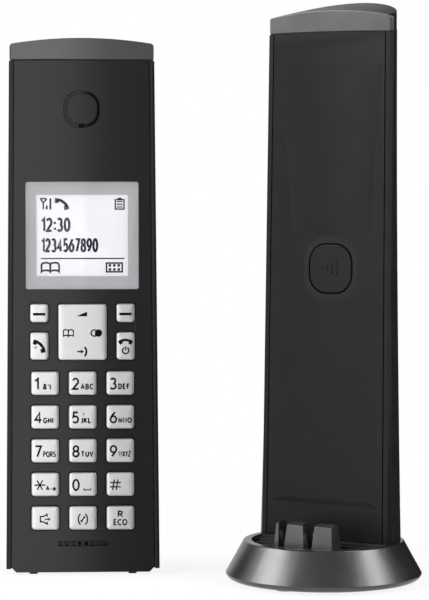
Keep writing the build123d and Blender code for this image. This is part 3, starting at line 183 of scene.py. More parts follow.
class PhoneSizes(PropertyGroup):
    """Lengths of the dress that a user would change."""

    case_edge: FloatProperty(
        name="Case edge", description="Rounding of the handset's and the tower's edges",
        default=0.22 * MM, min=0.02 * MM, max=0.6 * MM, precision=5, unit="LENGTH")
    key_edge: FloatProperty(
        name="Key edge", description="Rounding round the face of each key",
        default=0.42 * MM, min=0.05 * MM, max=0.8 * MM, precision=5, unit="LENGTH")
    key_corner: FloatProperty(
        name="Key corner", description="Radius of a key's four corners",
        default=1.1 * MM, min=0.5 * MM, max=2.0 * MM, precision=5, unit="LENGTH")
    digit_height: FloatProperty(
        name="Digit height", description="Height of the large figure on a number key",
        default=3.9 * MM, min=1.0 * MM, max=6.0 * MM, precision=5, unit="LENGTH")
    letter_height: FloatProperty(
        name="Letter height", description="Height of the small letters on a number key",
        default=1.9 * MM, min=0.5 * MM, max=3.0 * MM, precision=5, unit="LENGTH")
    digit_line: FloatProperty(
        name="Digit line", description="Line width of the large figures",
        default=0.60 * MM, min=0.1 * MM, max=1.0 * MM, precision=5, unit="LENGTH")
    letter_line: FloatProperty(
        name="Letter line", description="Line width of the small letters",
        default=0.43 * MM, min=0.1 * MM, max=0.6 * MM, precision=5, unit="LENGTH")
    print_thickness: FloatProperty(
        name="Print thickness", description="How far printed marks stand off the surface",
        default=0.02 * MM, min=0.005 * MM, max=0.1 * MM, precision=6, unit="LENGTH")


class PhoneColours(PropertyGroup):
    """Colours of the finishes, as linear values."""

    case_black: FloatVectorProperty(
        name="Case black", description="Moulded plastic of the handset and the column",
        default=(0.0095, 0.0095, 0.010), size=3, min=0, max=1, subtype="COLOR")
    metallic_grey: FloatVectorProperty(
        name="Metallic grey", description="Paint of the foot",
        default=(0.092, 0.0925, 0.095), size=3, min=0, max=1, subtype="COLOR")
    # Lighter copy of the foot's metallic grey: painted light on the cradle and the tower's trim
    trim_grey: FloatVectorProperty(
        name="Trim grey", description="Brighter paint of the cradle and the tower's trim",
        default=(0.128, 0.1285, 0.131), size=3, min=0, max=1, subtype="COLOR")
    cap_grey: FloatVectorProperty(
        name="Cap grey", description="Lacquer of the handset's cap",
        default=(0.060, 0.0605, 0.062), size=3, min=0, max=1, subtype="COLOR")
    key_silver: FloatVectorProperty(
        name="Key silver", description="Paint of the keys",
        default=(0.405, 0.405, 0.407), size=3, min=0, max=1, subtype="COLOR")
    key_ink: FloatVectorProperty(
        name="Key ink", description="Print on the keys",
        default=(0.006, 0.006, 0.007), size=3, min=0, max=1, subtype="COLOR")
    display_light: FloatVectorProperty(
        name="Display light", description="Lit area of the display",
        default=(0.80, 0.80, 0.812), size=3, min=0, max=1, subtype="COLOR")
    display_border: FloatVectorProperty(
        name="Display border", description="Unlit border of the display",
        default=(0.37, 0.37, 0.383), size=3, min=0, max=1, subtype="COLOR")
    display_ink: FloatVectorProperty(
        name="Display ink", description="Dark segments of the display",
        default=(0.012, 0.008, 0.03), size=3, min=0, max=1, subtype="COLOR")


class PhoneStage(PropertyGroup):
    """Light and camera of the studio."""

    lens: FloatProperty(
        name="Lens", description="Focal length on a 36 mm frame, in millimetres",
        default=158.345, min=20, max=400, subtype="DISTANCE_CAMERA")
    front_lamp: FloatProperty(
        name="Front lamp", description="Power of the tall panel beside the camera",
        default=2.4, min=0, max=50, unit="POWER")
    left_lamp: FloatProperty(
        name="Left lamp", description="Power of the high softbox at the left",
        default=5.5, min=0, max=50, unit="POWER")
    right_lamp: FloatProperty(
        name="Right lamp", description="Power of the high strip at the right",
        default=4.0, min=0, max=50, unit="POWER")
    fill: FloatProperty(
        name="Fill", description="Even light from all round",
        default=0.30, min=0, max=2, subtype="FACTOR")


# Clouds in tone and gloss: the pattern's values that they are laid out over, size, detail, and share of gloss
CLOUD_SPAN = (0.3, 0.7)
CLOUD_SIZE = 9 * MM
CLOUD_DETAIL = 4.0
GLOSS_SPREAD = 0.06


def noise(tree, size, detail=2.0):
    """Cloud pattern in the piece's own coordinates, with features of about the given size."""
    coordinates = tree.nodes.new("ShaderNodeTexCoord")
    pattern = tree.nodes.new("ShaderNodeTexNoise")
    pattern.inputs["Scale"].default_value = 1 / size
    pattern.inputs["Detail"].default_value = detail
    tree.links.new(coordinates.outputs["Object"], pattern.inputs["Vector"])
    return pattern.outputs["Fac"]


def spread(tree, source, given, wanted):
    """Values between two given numbers laid out between two wanted ones."""
    span = tree.nodes.new("ShaderNodeMapRange")
    for socket, value in zip(("From Min", "From Max", "To Min", "To Max"), (*given, *wanted)):
        span.inputs[socket].default_value = value
    tree.links.new(source, span.inputs["Value"])
    return span.outputs["Result"]


def tint(tree, source, colour, amount):
    """Pattern laid out as lighter and darker tones of a colour."""
    ramp = tree.nodes.new("ShaderNodeValToRGB")
    for element, position, gain in zip(ramp.color_ramp.elements, CLOUD_SPAN, (1 - amount, 1 + amount)):
        element.position = position
        element.color = (*(min(1.0, part * gain) for part in colour), 1)
    tree.links.new(source, ramp.inputs["Fac"])
    return ramp.outputs["Color"]


def relief(tree, shader, source, depth):
    """Pattern as fine relief in the surface."""
    bump = tree.nodes.new("ShaderNodeBump")
    bump.inputs["Strength"].default_value = 1.0
    bump.inputs["Distance"].default_value = depth
    tree.links.new(source, bump.inputs["Height"])
    tree.links.new(bump.outputs["Normal"], shader.inputs["Normal"])


def combine(tree, operation, first, second):
    """Two values put together by an operation of the Math node."""
    node = tree.nodes.new("ShaderNodeMath")
    node.operation = operation
    tree.links.new(first, node.inputs[0])
    tree.links.new(second, node.inputs[1])
    return node.outputs[0]


def mix_shaders(tree, share, first, second, output):
    """Second shader over the first by a share, led to an output node."""
    mix = tree.nodes.new("ShaderNodeMixShader")
    for socket, source in enumerate((share, first.outputs[0], second.outputs[0])):
        tree.links.new(source, mix.inputs[socket])
    tree.links.new(mix.outputs[0], output.inputs["Surface"])


class Recipe(NamedTuple):
    """What a finish is made of.

    Grain is the size of its relief and depth the height, in millimetres. Tone is how far its colour varies, glow
    the strength of the light it gives off, partly painted light on the display, and gain what its colour is
    multiplied by, which lightens the zone round the paging button as a painted sheen.
    """

    colour: object
    roughness: float
    grain: float
    depth: float
    tone: float = 0.08
    glow: float = 0.0
    gain: float = 1.0
    sockets: dict = {}


def gloss(level, **others):
    """Sockets of a finish with a level of gloss, others named with _ for a space."""
    return {"Specular IOR Level": level, **{name.replace("_", " "): value for name, value in others.items()}}


# Finishes by material name. A colour is three linear values, or the name of one in PhoneColours
RECIPES = {
    # Moulded plastic: column and back, face with a thin sheen, earpiece channel, paging button, and the zone round
    # it, lightened by its gain as a painted sheen
    "satin_black_plastic": Recipe("case_black", 0.40, 0.22, 0.0016, sockets=gloss(0.2)),
    "sheen_black_plastic": Recipe("case_black", 0.46, 0.22, 0.0012,
                                  sockets=gloss(0.1, Coat_Weight=0.2, Coat_Roughness=0.1)),
    "polished_black_plastic": Recipe((0.005, 0.005, 0.0055), 0.03, 0.5, 0.0, sockets=gloss(0.1)),
    "matt_black_plastic": Recipe("case_black", 0.5, 0.22, 0.0016, sockets=gloss(0.2)),
    "surround_black_plastic": Recipe("case_black", 0.40, 0.22, 0.0016, gain=1.4, sockets=gloss(0.22)),
    # Paint: foot, cradle and trim, handset's cap, keys and their print; the cradle and trim have the foot's grey
    # lightened as painted light
    "metallic_grey_paint": Recipe("metallic_grey", 0.33, 0.12, 0.0022, 0.14, sockets=gloss(0.4, Metallic=0.9)),
    "trim_grey_paint": Recipe("trim_grey", 0.3, 0.12, 0.0018, 0.1, sockets=gloss(0.4, Metallic=0.9)),
    "cap_grey_lacquer": Recipe("cap_grey", 0.5, 0.12, 0.0012, 0.06,
                               sockets=gloss(0.1, Coat_Weight=0.45, Coat_Roughness=0.1)),
    "silver_key_paint": Recipe("key_silver", 0.24, 0.12, 0.0010, 0.04, sockets=gloss(0.4, Metallic=0.55)),
    # Black print of the keys, also drawn as painted shade round the microphone's slot and dimples
    "black_key_print": Recipe("key_ink", 0.6, 0.1, 0.0006, 0.2, sockets=gloss(0.04)),
    # Feet, light guide, sockets, screws, contacts, speakers, boards, dust screens and cells; the black cloth is
    # also painted shade in the seams and round the earpiece
    "matt_rubber": Recipe((0.011, 0.011, 0.011), 0.78, 0.3, 0.008, 0.15),
    "white_light_guide": Recipe((0.74, 0.74, 0.72), 0.45, 0.3, 0.002, 0.03),
    "dark_socket_plastic": Recipe((0.022, 0.022, 0.023), 0.44, 0.25, 0.003),
    "plated_steel": Recipe((0.46, 0.46, 0.47), 0.3, 0.3, 0.002, sockets={"Metallic": 1.0}),
    "nickel_contact": Recipe((0.62, 0.59, 0.53), 0.24, 0.2, 0.0012, sockets={"Metallic": 1.0}),
    "dull_speaker_metal": Recipe((0.17, 0.17, 0.175), 0.42, 0.3, 0.004, sockets={"Metallic": 0.8}),
    "green_board_lacquer": Recipe((0.012, 0.075, 0.035), 0.3, 1.2, 0.03, 0.3),
    "black_dust_cloth": Recipe((0.006, 0.006, 0.006), 0.9, 0.15, 0.03, 0.4),
    "grey_cell_sleeve": Recipe((0.09, 0.11, 0.14), 0.35, 2.0, 0.01),
    # Display: lit area, border, segments and the clear window, polished flat
    # Glow of the lit area and of the border: partly the display's backlight and partly painted light for the lamp
    # light that the window glass keeps off
    "lit_display": Recipe("display_light", 0.4, 0.3, 0.0, 0.015, 0.2, sockets=gloss(0.05)),
    "display_border": Recipe("display_border", 0.45, 0.3, 0.0, 0.03, 0.25, sockets=gloss(0.05)),
    "display_segments": Recipe("display_ink", 0.5, 0.3, 0.0, 0.1, sockets=gloss(0.02)),
    "clear_window": Recipe((0.97, 0.97, 0.98), 0.0, 6.0, 0.0, 0.01,
                           sockets={"Roughness": 0.0, "Transmission Weight": 1.0, "IOR": 1.18}),
}
FINISHES = {}


def finish(name):
    """Material of a recipe: fine grain in its relief and soft clouds in its tone and gloss."""
    if name in FINISHES:
        return FINISHES[name]
    recipe = RECIPES[name]
    colour = recipe.colour
    if isinstance(colour, str):
        colour = getattr(bpy.context.scene.phone_colours, colour)
    colour = [recipe.gain * part for part in colour]
    material = bpy.data.materials.new(name)
    FINISHES[name] = material
    material.use_nodes = True
    material.diffuse_color = (*colour, 1)
    tree = material.node_tree
    shader = tree.nodes["Principled BSDF"]
    clouds = noise(tree, CLOUD_SIZE, CLOUD_DETAIL)
    shade = tint(tree, clouds, colour, recipe.tone)
    tree.links.new(shade, shader.inputs["Base Color"])
    if recipe.roughness:
        ends = (recipe.roughness * (1 - GLOSS_SPREAD), recipe.roughness * (1 + GLOSS_SPREAD))
        tree.links.new(spread(tree, clouds, CLOUD_SPAN, ends), shader.inputs["Roughness"])
    if recipe.depth:
        relief(tree, shader, noise(tree, recipe.grain * MM), recipe.depth * MM)
    if recipe.glow:
        tree.links.new(shade, shader.inputs["Emission Color"])
        shader.inputs["Emission Strength"].default_value = recipe.glow
    for socket, value in recipe.sockets.items():
        shader.inputs[socket].default_value = value
    return material


def to_mesh(work, name, place=Matrix.Identity(4)):
    """Finished mesh of a work mesh at a place: faces turned outwards, smooth, and crisp at steep edges."""
    bmesh.ops.transform(work, matrix=place, verts=work.verts)
    bmesh.ops.recalc_face_normals(work, faces=work.faces)
    mesh = bpy.data.meshes.new(name)
    work.to_mesh(mesh)
    work.free()
    if "custom_normal" in mesh.attributes:
        mesh.attributes.remove(mesh.attributes["custom_normal"])
    for polygon in mesh.polygons:
        polygon.use_smooth = True
    mesh.set_sharp_from_angle(angle=SMOOTH_ANGLE)
    return mesh


def add_object(name, data):
    """Object of the given data in the scene."""
    item = bpy.data.objects.new(name, data)
    bpy.context.scene.collection.objects.link(item)
    return item


def add_piece(name, mesh, materials, body, nodes=()):
    """Object of a mesh that rides on a body and stands for the given nodes; faces count their materials from 0."""
    piece = add_object(name, mesh)
    for material in materials:
        mesh.materials.append(finish(material))
    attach(piece, body)
    if nodes:
        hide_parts(*nodes)
    crisp = piece.modifiers.new("even_shading", "WEIGHTED_NORMAL")
    crisp.keep_sharp = True


def rounded_copy(node, width):
    """Copy of a node's mesh with its facets joined and its sharp edges rounded."""
    work = bmesh.new()
    work.from_mesh(frame["nodes"][node].data)
    bmesh.ops.remove_doubles(work, verts=work.verts, dist=WELD)
    bmesh.ops.dissolve_limit(work, angle_limit=FLAT_ANGLE, verts=work.verts, edges=work.edges,
                             use_dissolve_boundaries=False)
    sharp = [edge for edge in work.edges
             if len(edge.link_faces) == 2 and edge.calc_face_angle(0) > SHARP_ANGLE]
    if width and sharp:
        bmesh.ops.bevel(work, geom=sharp, offset=width, offset_type="OFFSET", segments=EDGE_SEGMENTS,
                        profile=0.5, affect="EDGES", clamp_overlap=True)
        bmesh.ops.dissolve_degenerate(work, dist=EDGE_WELD, edges=work.edges)
    return to_mesh(work, node)


def dress(node, material, width):
    """Visible piece for one node: its own shape with rounded edges and a finish."""
    add_piece(node + "_dressed", rounded_copy(node, width), (material,), BODY_OF[node], (node,))


def own_points(node, place):
    """A node's vertices in the frame of its place."""
    back = place.inverted()
    return [back @ vertex.co for vertex in frame["nodes"][node].data.vertices]


def front_area(node, place, depth):
    """Middle and half sizes of what a node shows in front of a depth: x, z, half width, half height."""
    points = [point for point in own_points(node, place) if point.y < depth]
    xs = [point.x for point in points]
    zs = [point.z for point in points]
    return ((max(xs) + min(xs)) / 2, (max(zs) + min(zs)) / 2, (max(xs) - min(xs)) / 2, (max(zs) - min(zs)) / 2)


def rounded_outline(half_x, half_z, radius, steps=CORNER_STEPS):
    """Rectangle with round corners about the origin, as (x, z) points."""
    points = []
    for right, up, start in ((1, 1, 0), (-1, 1, 90), (-1, -1, 180), (1, -1, 270)):
        for i in range(steps + 1):
            angle = radians(start + 90 * i / steps)
            points.append((right * (half_x - radius) + radius * cos(angle),
                           up * (half_z - radius) + radius * sin(angle)))
    return points


def skin(work, rings):
    """Closed skin through rings of the same number of points."""
    loops = [[work.verts.new(point) for point in ring] for ring in rings]
    for lower, upper in zip(loops, loops[1:]):
        for i in range(len(lower)):
            j = (i + 1) % len(lower)
            work.faces.new((lower[i], lower[j], upper[j], upper[i]))
    work.faces.new(loops[0])
    work.faces.new(list(reversed(loops[-1])))


def key_rings(x, z, half_x, half_z, corner, edge, root, back):
    """Rings of a key from its flange to its face, with a rounded edge and a slightly crowned face."""
    profile = [(-KEY_FLANGE, back), (-KEY_FLANGE, root), (0.0, root), (0.0, 0.0), (0.0, KEY_FACE + edge)]
    for angle in (radians(degrees) for degrees in (18, 36, 54, 72, 90)):
        profile.append((edge * (1 - cos(angle)), KEY_FACE + edge * (1 - sin(angle))))
    profile += [(edge + inset, KEY_FACE - rise) for inset, rise in KEY_CROWN]
    rings = []
    for inset, y in profile:
        radius = max(corner - inset, KEY_CORNER_LEAST)
        outline = rounded_outline(half_x - inset, half_z - inset, radius)
        rings.append([(x + px, y, z + pz) for px, pz in outline])
    return rings


def dot_rings(x, z):
    """Rings of a low round dot on a key's face, by shares of its radius and height."""
    rings = []
    for share, rise in ((1.0, -0.1), (1.0, 0.25), (0.85, 0.7), (0.55, 0.95), (0.2, 1.0)):
        rings.append([(px, KEY_FACE - rise * DOT_HEIGHT, pz) for px, pz in circle(x, z, share * DOT_RADIUS)])
    return rings


# From here to the channel round the earpiece, flat shapes are lists of (x, z) points in millimetres

# Least square of the sum of two normals at a corner, which keeps sharp corners from running out, and how near the
# ends of a line are when it is closed
MITRE_LEAST = 0.6
CLOSED_WITHIN = 1e-6


def between(outer, inner):
    """Flat shapes that fill the band between two outlines of the same number of points."""
    count = len(outer)
    return [[outer[i], outer[(i + 1) % count], inner[(i + 1) % count], inner[i]] for i in range(count)]


def stroke(points, width, closed=False):
    """Line of even width through points, as flat shapes with mitred corners."""
    count = len(points)
    sides = []
    for i, (x, z) in enumerate(points):
        before = points[i - 1] if closed or i else None
        after = points[(i + 1) % count] if closed or i < count - 1 else None
        normals = []
        for start, end in ((before, (x, z)), ((x, z), after)):
            if start and end:
                length = hypot(end[0] - start[0], end[1] - start[1])
                normals.append((-(end[1] - start[1]) / length, (end[0] - start[0]) / length))
        nx = sum(normal[0] for normal in normals)
        nz = sum(normal[1] for normal in normals)
        reach = width / max(nx * nx + nz * nz, MITRE_LEAST) * len(normals) / 2
        sides.append(((x + nx * reach, z + nz * reach), (x - nx * reach, z - nz * reach)))
    pairs = list(zip(sides, sides[1:]))
    if closed:
        pairs.append((sides[-1], sides[0]))
    return [[a[0], b[0], b[1], a[1]] for a, b in pairs]


def circle(x, z, radius):
    """Points once round a circle, each of them once."""
    return oval(x, z, radius, radius, 0, 345, 23)


def disc(x, z, radius):
    """Round dot as a flat shape."""
    return [circle(x, z, radius)]


def bar(left, right, bottom, top):
    """Upright rectangle as a flat shape."""
    return [[(left, bottom), (right, bottom), (right, top), (left, top)]]


def oval(x, z, half_x, half_z, start, end, steps=12):
    """Points of an oval arc about a middle, from one angle to another in degrees."""
    angles = [radians(start + (end - start) * i / steps) for i in range(steps + 1)]
    return [(x + half_x * cos(angle), z + half_z * sin(angle)) for angle in angles]


def ring(x, z, half_x, half_z):
    """Points once round an oval, ending where they start."""
    return oval(x, z, half_x, half_z, 90, 450, 20)


# Lines of each sign on a base line at 0, with capitals 1 high
SIGNS = {
    "0": [ring(0.30, 0.5, 0.28, 0.5)],
    "1": [[(0.04, 0.78), (0.32, 1.0), (0.32, 0.0)]],
    "2": [oval(0.28, 0.71, 0.26, 0.29, 160, -38) + [(0.02, 0.0), (0.57, 0.0)]],
    "3": [oval(0.26, 0.75, 0.24, 0.25, 145, -80), oval(0.26, 0.26, 0.29, 0.26, 80, -145)],
    "4": [[(0.44, 0.0), (0.44, 1.0), (0.02, 0.28), (0.60, 0.28)]],
    "5": [[(0.53, 1.0), (0.13, 1.0), (0.09, 0.55)] + oval(0.27, 0.31, 0.28, 0.31, 118, -145)],
    "6": [[(0.46, 1.0), (0.24, 0.76), (0.09, 0.52), (0.02, 0.31)], ring(0.30, 0.31, 0.28, 0.31)],
    "7": [[(0.02, 1.0), (0.57, 1.0), (0.20, 0.0)]],
    "8": [ring(0.30, 0.75, 0.23, 0.25), ring(0.30, 0.25, 0.28, 0.25)],
    "9": [[(0.14, 0.0), (0.36, 0.24), (0.51, 0.48), (0.58, 0.69)], ring(0.30, 0.69, 0.28, 0.31)],
    "A": [[(0.0, 0.0), (0.33, 1.0), (0.66, 0.0)], [(0.12, 0.34), (0.54, 0.34)]],
    "B": [[(0.05, 0.5), (0.05, 1.0)] + oval(0.28, 0.76, 0.22, 0.24, 90, -90) + [(0.05, 0.52)],
          [(0.05, 0.5), (0.05, 0.0)] + oval(0.30, 0.26, 0.25, 0.26, -90, 90)],
    "C": [oval(0.38, 0.5, 0.36, 0.5, 48, 312)],
    "D": [[(0.05, 0.0), (0.05, 1.0)] + oval(0.24, 0.5, 0.38, 0.5, 90, -90) + [(0.05, 0.0)]],
    "E": [[(0.50, 1.0), (0.05, 1.0), (0.05, 0.0), (0.50, 0.0)], [(0.05, 0.52), (0.44, 0.52)]],
    "F": [[(0.50, 1.0), (0.05, 1.0), (0.05, 0.0)], [(0.05, 0.50), (0.43, 0.50)]],
    "G": [oval(0.38, 0.5, 0.36, 0.5, 48, 322) + [(0.66, 0.46), (0.42, 0.46)]],
    "H": [[(0.05, 0.0), (0.05, 1.0)], [(0.58, 0.0), (0.58, 1.0)], [(0.05, 0.52), (0.58, 0.52)]],
    "I": [[(0.05, 0.0), (0.05, 1.0)]],
    "J": [[(0.32, 1.0), (0.32, 0.24)] + oval(0.14, 0.24, 0.18, 0.24, -10, -120)],
    "K": [[(0.05, 0.0), (0.05, 1.0)], [(0.52, 1.0), (0.08, 0.46)], [(0.20, 0.58), (0.56, 0.0)]],
    "L": [[(0.05, 1.0), (0.05, 0.0), (0.48, 0.0)]],
    "M": [[(0.05, 0.0), (0.05, 1.0), (0.38, 0.22), (0.71, 1.0), (0.71, 0.0)]],
    "N": [[(0.05, 0.0), (0.05, 1.0), (0.58, 0.0), (0.58, 1.0)]],
    "O": [ring(0.39, 0.5, 0.36, 0.5)],
    "P": [[(0.05, 0.0), (0.05, 1.0)] + oval(0.28, 0.74, 0.24, 0.26, 90, -90) + [(0.05, 0.48)]],
    "Q": [ring(0.39, 0.5, 0.36, 0.5), [(0.46, 0.24), (0.76, -0.08)]],
    "R": [[(0.05, 0.0), (0.05, 1.0)] + oval(0.28, 0.74, 0.24, 0.26, 90, -90) + [(0.05, 0.48)],
          [(0.28, 0.48), (0.55, 0.0)]],
    "S": [oval(0.28, 0.75, 0.23, 0.25, 40, 270) + oval(0.28, 0.25, 0.25, 0.25, 80, -145)],
    "T": [[(0.0, 1.0), (0.60, 1.0)], [(0.30, 1.0), (0.30, 0.0)]],
    "U": [[(0.05, 1.0)] + oval(0.31, 0.3, 0.26, 0.3, 180, 360) + [(0.57, 1.0)]],
    "V": [[(0.0, 1.0), (0.31, 0.0), (0.62, 1.0)]],
    "W": [[(0.0, 1.0), (0.21, 0.0), (0.43, 0.92), (0.65, 0.0), (0.86, 1.0)]],
    "X": [[(0.0, 0.0), (0.56, 1.0)], [(0.0, 1.0), (0.56, 0.0)]],
    "Y": [[(0.0, 1.0), (0.28, 0.46), (0.56, 1.0)], [(0.28, 0.46), (0.28, 0.0)]],
    "Z": [[(0.03, 1.0), (0.54, 1.0), (0.0, 0.0), (0.56, 0.0)]],
    "a": [ring(0.25, 0.32, 0.22, 0.32), [(0.49, 0.64), (0.49, 0.0)]],
    "-": [[(0.02, 0.40), (0.30, 0.40)]],
    "&": [[(0.66, 0.0), (0.16, 0.66)] + oval(0.31, 0.80, 0.17, 0.20, 190, -30)
          + [(0.12, 0.38)] + oval(0.27, 0.22, 0.25, 0.22, 160, 330) + [(0.60, 0.44)]],
    "'": [[(0.05, 1.0), (0.05, 0.70)]],
    "(": [oval(0.38, 0.44, 0.33, 0.62, 125, 235)],
    ":": [[(0.08, 0.08), (0.08, 0.26)], [(0.08, 0.56), (0.08, 0.74)]],
}


def lettering(text, left, base, height, line, width=None, gap=0.16):
    """Flat shapes of a line of text from its left end and base line, fitted to a width if one is given."""
    lines = []
    start = 0.0
    for sign in text:
        lines += [[(x + start, z) for x, z in points] for points in SIGNS[sign]]
        start = max(x for points in lines for x, _ in points) + gap + line / height
    reach = max(x for points in lines for x, _ in points)
    low = min(x for points in lines for x, _ in points)
    up = height - line
    across = (width - line) / (reach - low) if width else up
    shapes = []
    for points in lines:
        placed = [(left + line / 2 + (x - low) * across, base + line / 2 + z * up) for x, z in points]
        (first_x, first_z), (last_x, last_z) = points[0], points[-1]
        closed = len(points) > 2 and hypot(first_x - last_x, first_z - last_z) < CLOSED_WITHIN
        shapes += stroke(placed[:-1] if closed else placed, line, closed)
    return shapes


def shifted(shapes, x, z, scale=1.0):
    """Flat shapes moved to a middle and scaled."""
    return [[(x + scale * px, z + scale * pz) for px, pz in shape] for shape in shapes]


def print_on(name, shapes, place, depth, material, body):
    """Thin printed piece made of flat shapes that lies on a face at a depth of its place."""
    thickness = bpy.context.scene.phone_sizes.print_thickness
    work = bmesh.new()
    for shape in shapes:
        work.faces.new([work.verts.new((x * MM, depth, z * MM)) for x, z in shape])
    bmesh.ops.remove_doubles(work, verts=work.verts, dist=PRINT_WELD)
    fronts = bmesh.ops.extrude_face_region(work, geom=work.faces[:])["geom"]
    moved = [item for item in fronts if isinstance(item, bmesh.types.BMVert)]
    bmesh.ops.translate(work, verts=moved, vec=(0, -thickness, 0))
    add_piece(name, to_mesh(work, name, place), (material,), body)


def handset_glyph(tilt):
    """Small telephone handset seen from the side, turned by an angle in degrees, about the origin."""
    middle, bow, band, half_angle = -3.8, 4.6, 1.1, 32
    end_reach, end_width = (5.15, 3.3), 1.5
    shapes = stroke(oval(0, middle, bow, bow, 90 + half_angle, 90 - half_angle), band)
    for angle in (radians(90 + half_angle), radians(90 - half_angle)):
        shapes += stroke([(reach * cos(angle), middle + reach * sin(angle)) for reach in end_reach], end_width)
    turn = radians(tilt)
    return [[(x * cos(turn) - z * sin(turn), x * sin(turn) + z * cos(turn)) for x, z in shape] for shape in shapes]


def book_glyph(width, height, line):
    """Open book as outlines about the origin."""
    half, up, rise = width / 2, height / 2, 0.24 * height
    left = oval(-half / 2, up - rise, half / 2, rise, 12, 180, 8)
    left += oval(-half / 2, -up, half / 2, 0.8 * rise, 168, 12, 8)
    right = [(-x, z) for x, z in left]
    return stroke(left, line, True) + stroke(right, line, True)


def number_legend(digit, word):
    """Large figure at the left of a key and small letters beside it."""
    sizes = bpy.context.scene.phone_sizes
    shapes = lettering(digit, -3.4, -2.1, sizes.digit_height / MM, sizes.digit_line / MM)
    if word:
        width, thin = (4.05, 0.82) if len(word) > 3 else (None, 1.0)
        shapes += lettering(word, -0.65, -2.0, sizes.letter_height / MM, thin * sizes.letter_line / MM, width, 0.12)
    return shapes


def star_legend(line):
    """Six-armed star at the left of its key and the letter-case mark beside it, in lines of a width."""
    shapes = []
    for angle in (0, 60, 120):
        dx, dz = (1.76 * part for part in (cos(radians(angle)), sin(radians(angle))))
        shapes += stroke([(-1.73 - dx, -0.14 - dz), (-1.73 + dx, -0.14 + dz)], 0.42)
    return shapes + lettering("A-a", 0.16, -1.95, 1.5, line, 3.2)


def hash_legend():
    """Number sign made of two leaning and two level bars."""
    shapes = []
    for offset in (-0.55, 0.55):
        shapes += stroke([(offset - 1.9, -1.8), (offset - 1.34, 1.5)], 0.4)
        level = 1.25 * offset - 0.15
        shapes += stroke([(-3.35, level), (0.15, level)], 0.4)
    return shapes


def loudspeaker_legend():
    """Loudspeaker seen from the side with an arrow out of it."""
    upper = [(-1.6, -0.35), (-1.6, 0.55), (-0.75, 0.55), (0.55, 1.25), (0.55, 0.5)]
    lower = [(-1.6, -0.25), (-1.6, -1.15), (-0.75, -1.15), (0.55, -1.85), (0.55, -1.1)]
    shapes = stroke(upper, 0.42) + stroke(lower, 0.42)
    shapes += stroke([(-0.2, -0.3), (1.1, -0.3)], 0.4)
    return shapes + [[(0.95, -0.85), (1.75, -0.3), (0.95, 0.25)]]


def intercom_legend():
    """Two brackets round a slanting link."""
    shapes = stroke(oval(-0.15, -0.36, 1.3, 1.9, 118, 242, 10), 0.45)
    shapes += stroke(oval(0.15, -0.36, 1.3, 1.9, -62, 62, 10), 0.45)
    shapes += stroke([(-0.45, -1.0), (0.45, 0.3)], 0.42)
    return shapes + disc(-0.42, -0.95, 0.36) + disc(0.42, 0.25, 0.36)


def key_legends():
    """Flat shapes of every key's print by key, about the key's middle."""
    line = bpy.context.scene.phone_sizes.letter_line / MM
    words = {"1": "&'(", "2": "ABC", "3": "DEF", "4": "GHI", "5": "JKL", "6": "MNO", "7": "PQRS", "8": "TUV",
             "9": "WXYZ", "0": ""}
    legends = {"key_" + digit: number_legend(digit, word) for digit, word in words.items()}
    legends["key_0"] += stroke([(0.35, -1.2), (0.35, -1.75), (2.4, -1.75), (2.4, -1.2)], 0.34)
    legends["key_star"] = star_legend(line)
    legends["key_hash"] = hash_legend()
    legends["key_speaker"] = loudspeaker_legend()
    legends["key_intercom"] = intercom_legend()
    legends["key_recall"] = lettering("R", -0.85, 0.2, 2.1, line, 1.7)
    legends["key_recall"] += lettering("ECO", -2.25, -2.45, 2.1, line, 4.5, 0.05)
    for name in ("soft_key_left", "soft_key_right"):
        legends[name] = bar(-1.95, 1.95, -0.72, 0.1)
    legends["talk_key"] = shifted(handset_glyph(-47), 0.05, 0.05, 0.82)
    legends["off_key"] = (shifted(handset_glyph(0), 0, 1.35, 0.72)
                          + stroke(oval(0, -1.45, 1.0, 1.0, 122, 418, 20), 0.46)
                          + bar(-0.23, 0.23, -1.4, -0.1))
    return legends


def navigator_legend():
    """Flat shapes of the rocker's four marks, about its middle."""
    wedge = [[(-1.9, 5.05), (1.5, 5.05), (1.5, 6.5)]]
    book = shifted(book_glyph(3.2, 2.2, 0.40), -4.45, -0.3)
    rings = stroke(circle(3.75, -0.3, 1.0), 0.44, True)
    rings += disc(5.1, -0.3, 1.17)
    arrow = stroke([(-1.7, -6.2), (-0.2, -6.2)], 0.42)
    arrow += [[(-0.5, -6.9), (0.5, -6.2), (-0.5, -5.5)]]
    arrow += stroke(oval(-0.9, -6.2, 2.15, 2.15, -42, 42, 10), 0.62)
    return wedge + book + rings + arrow


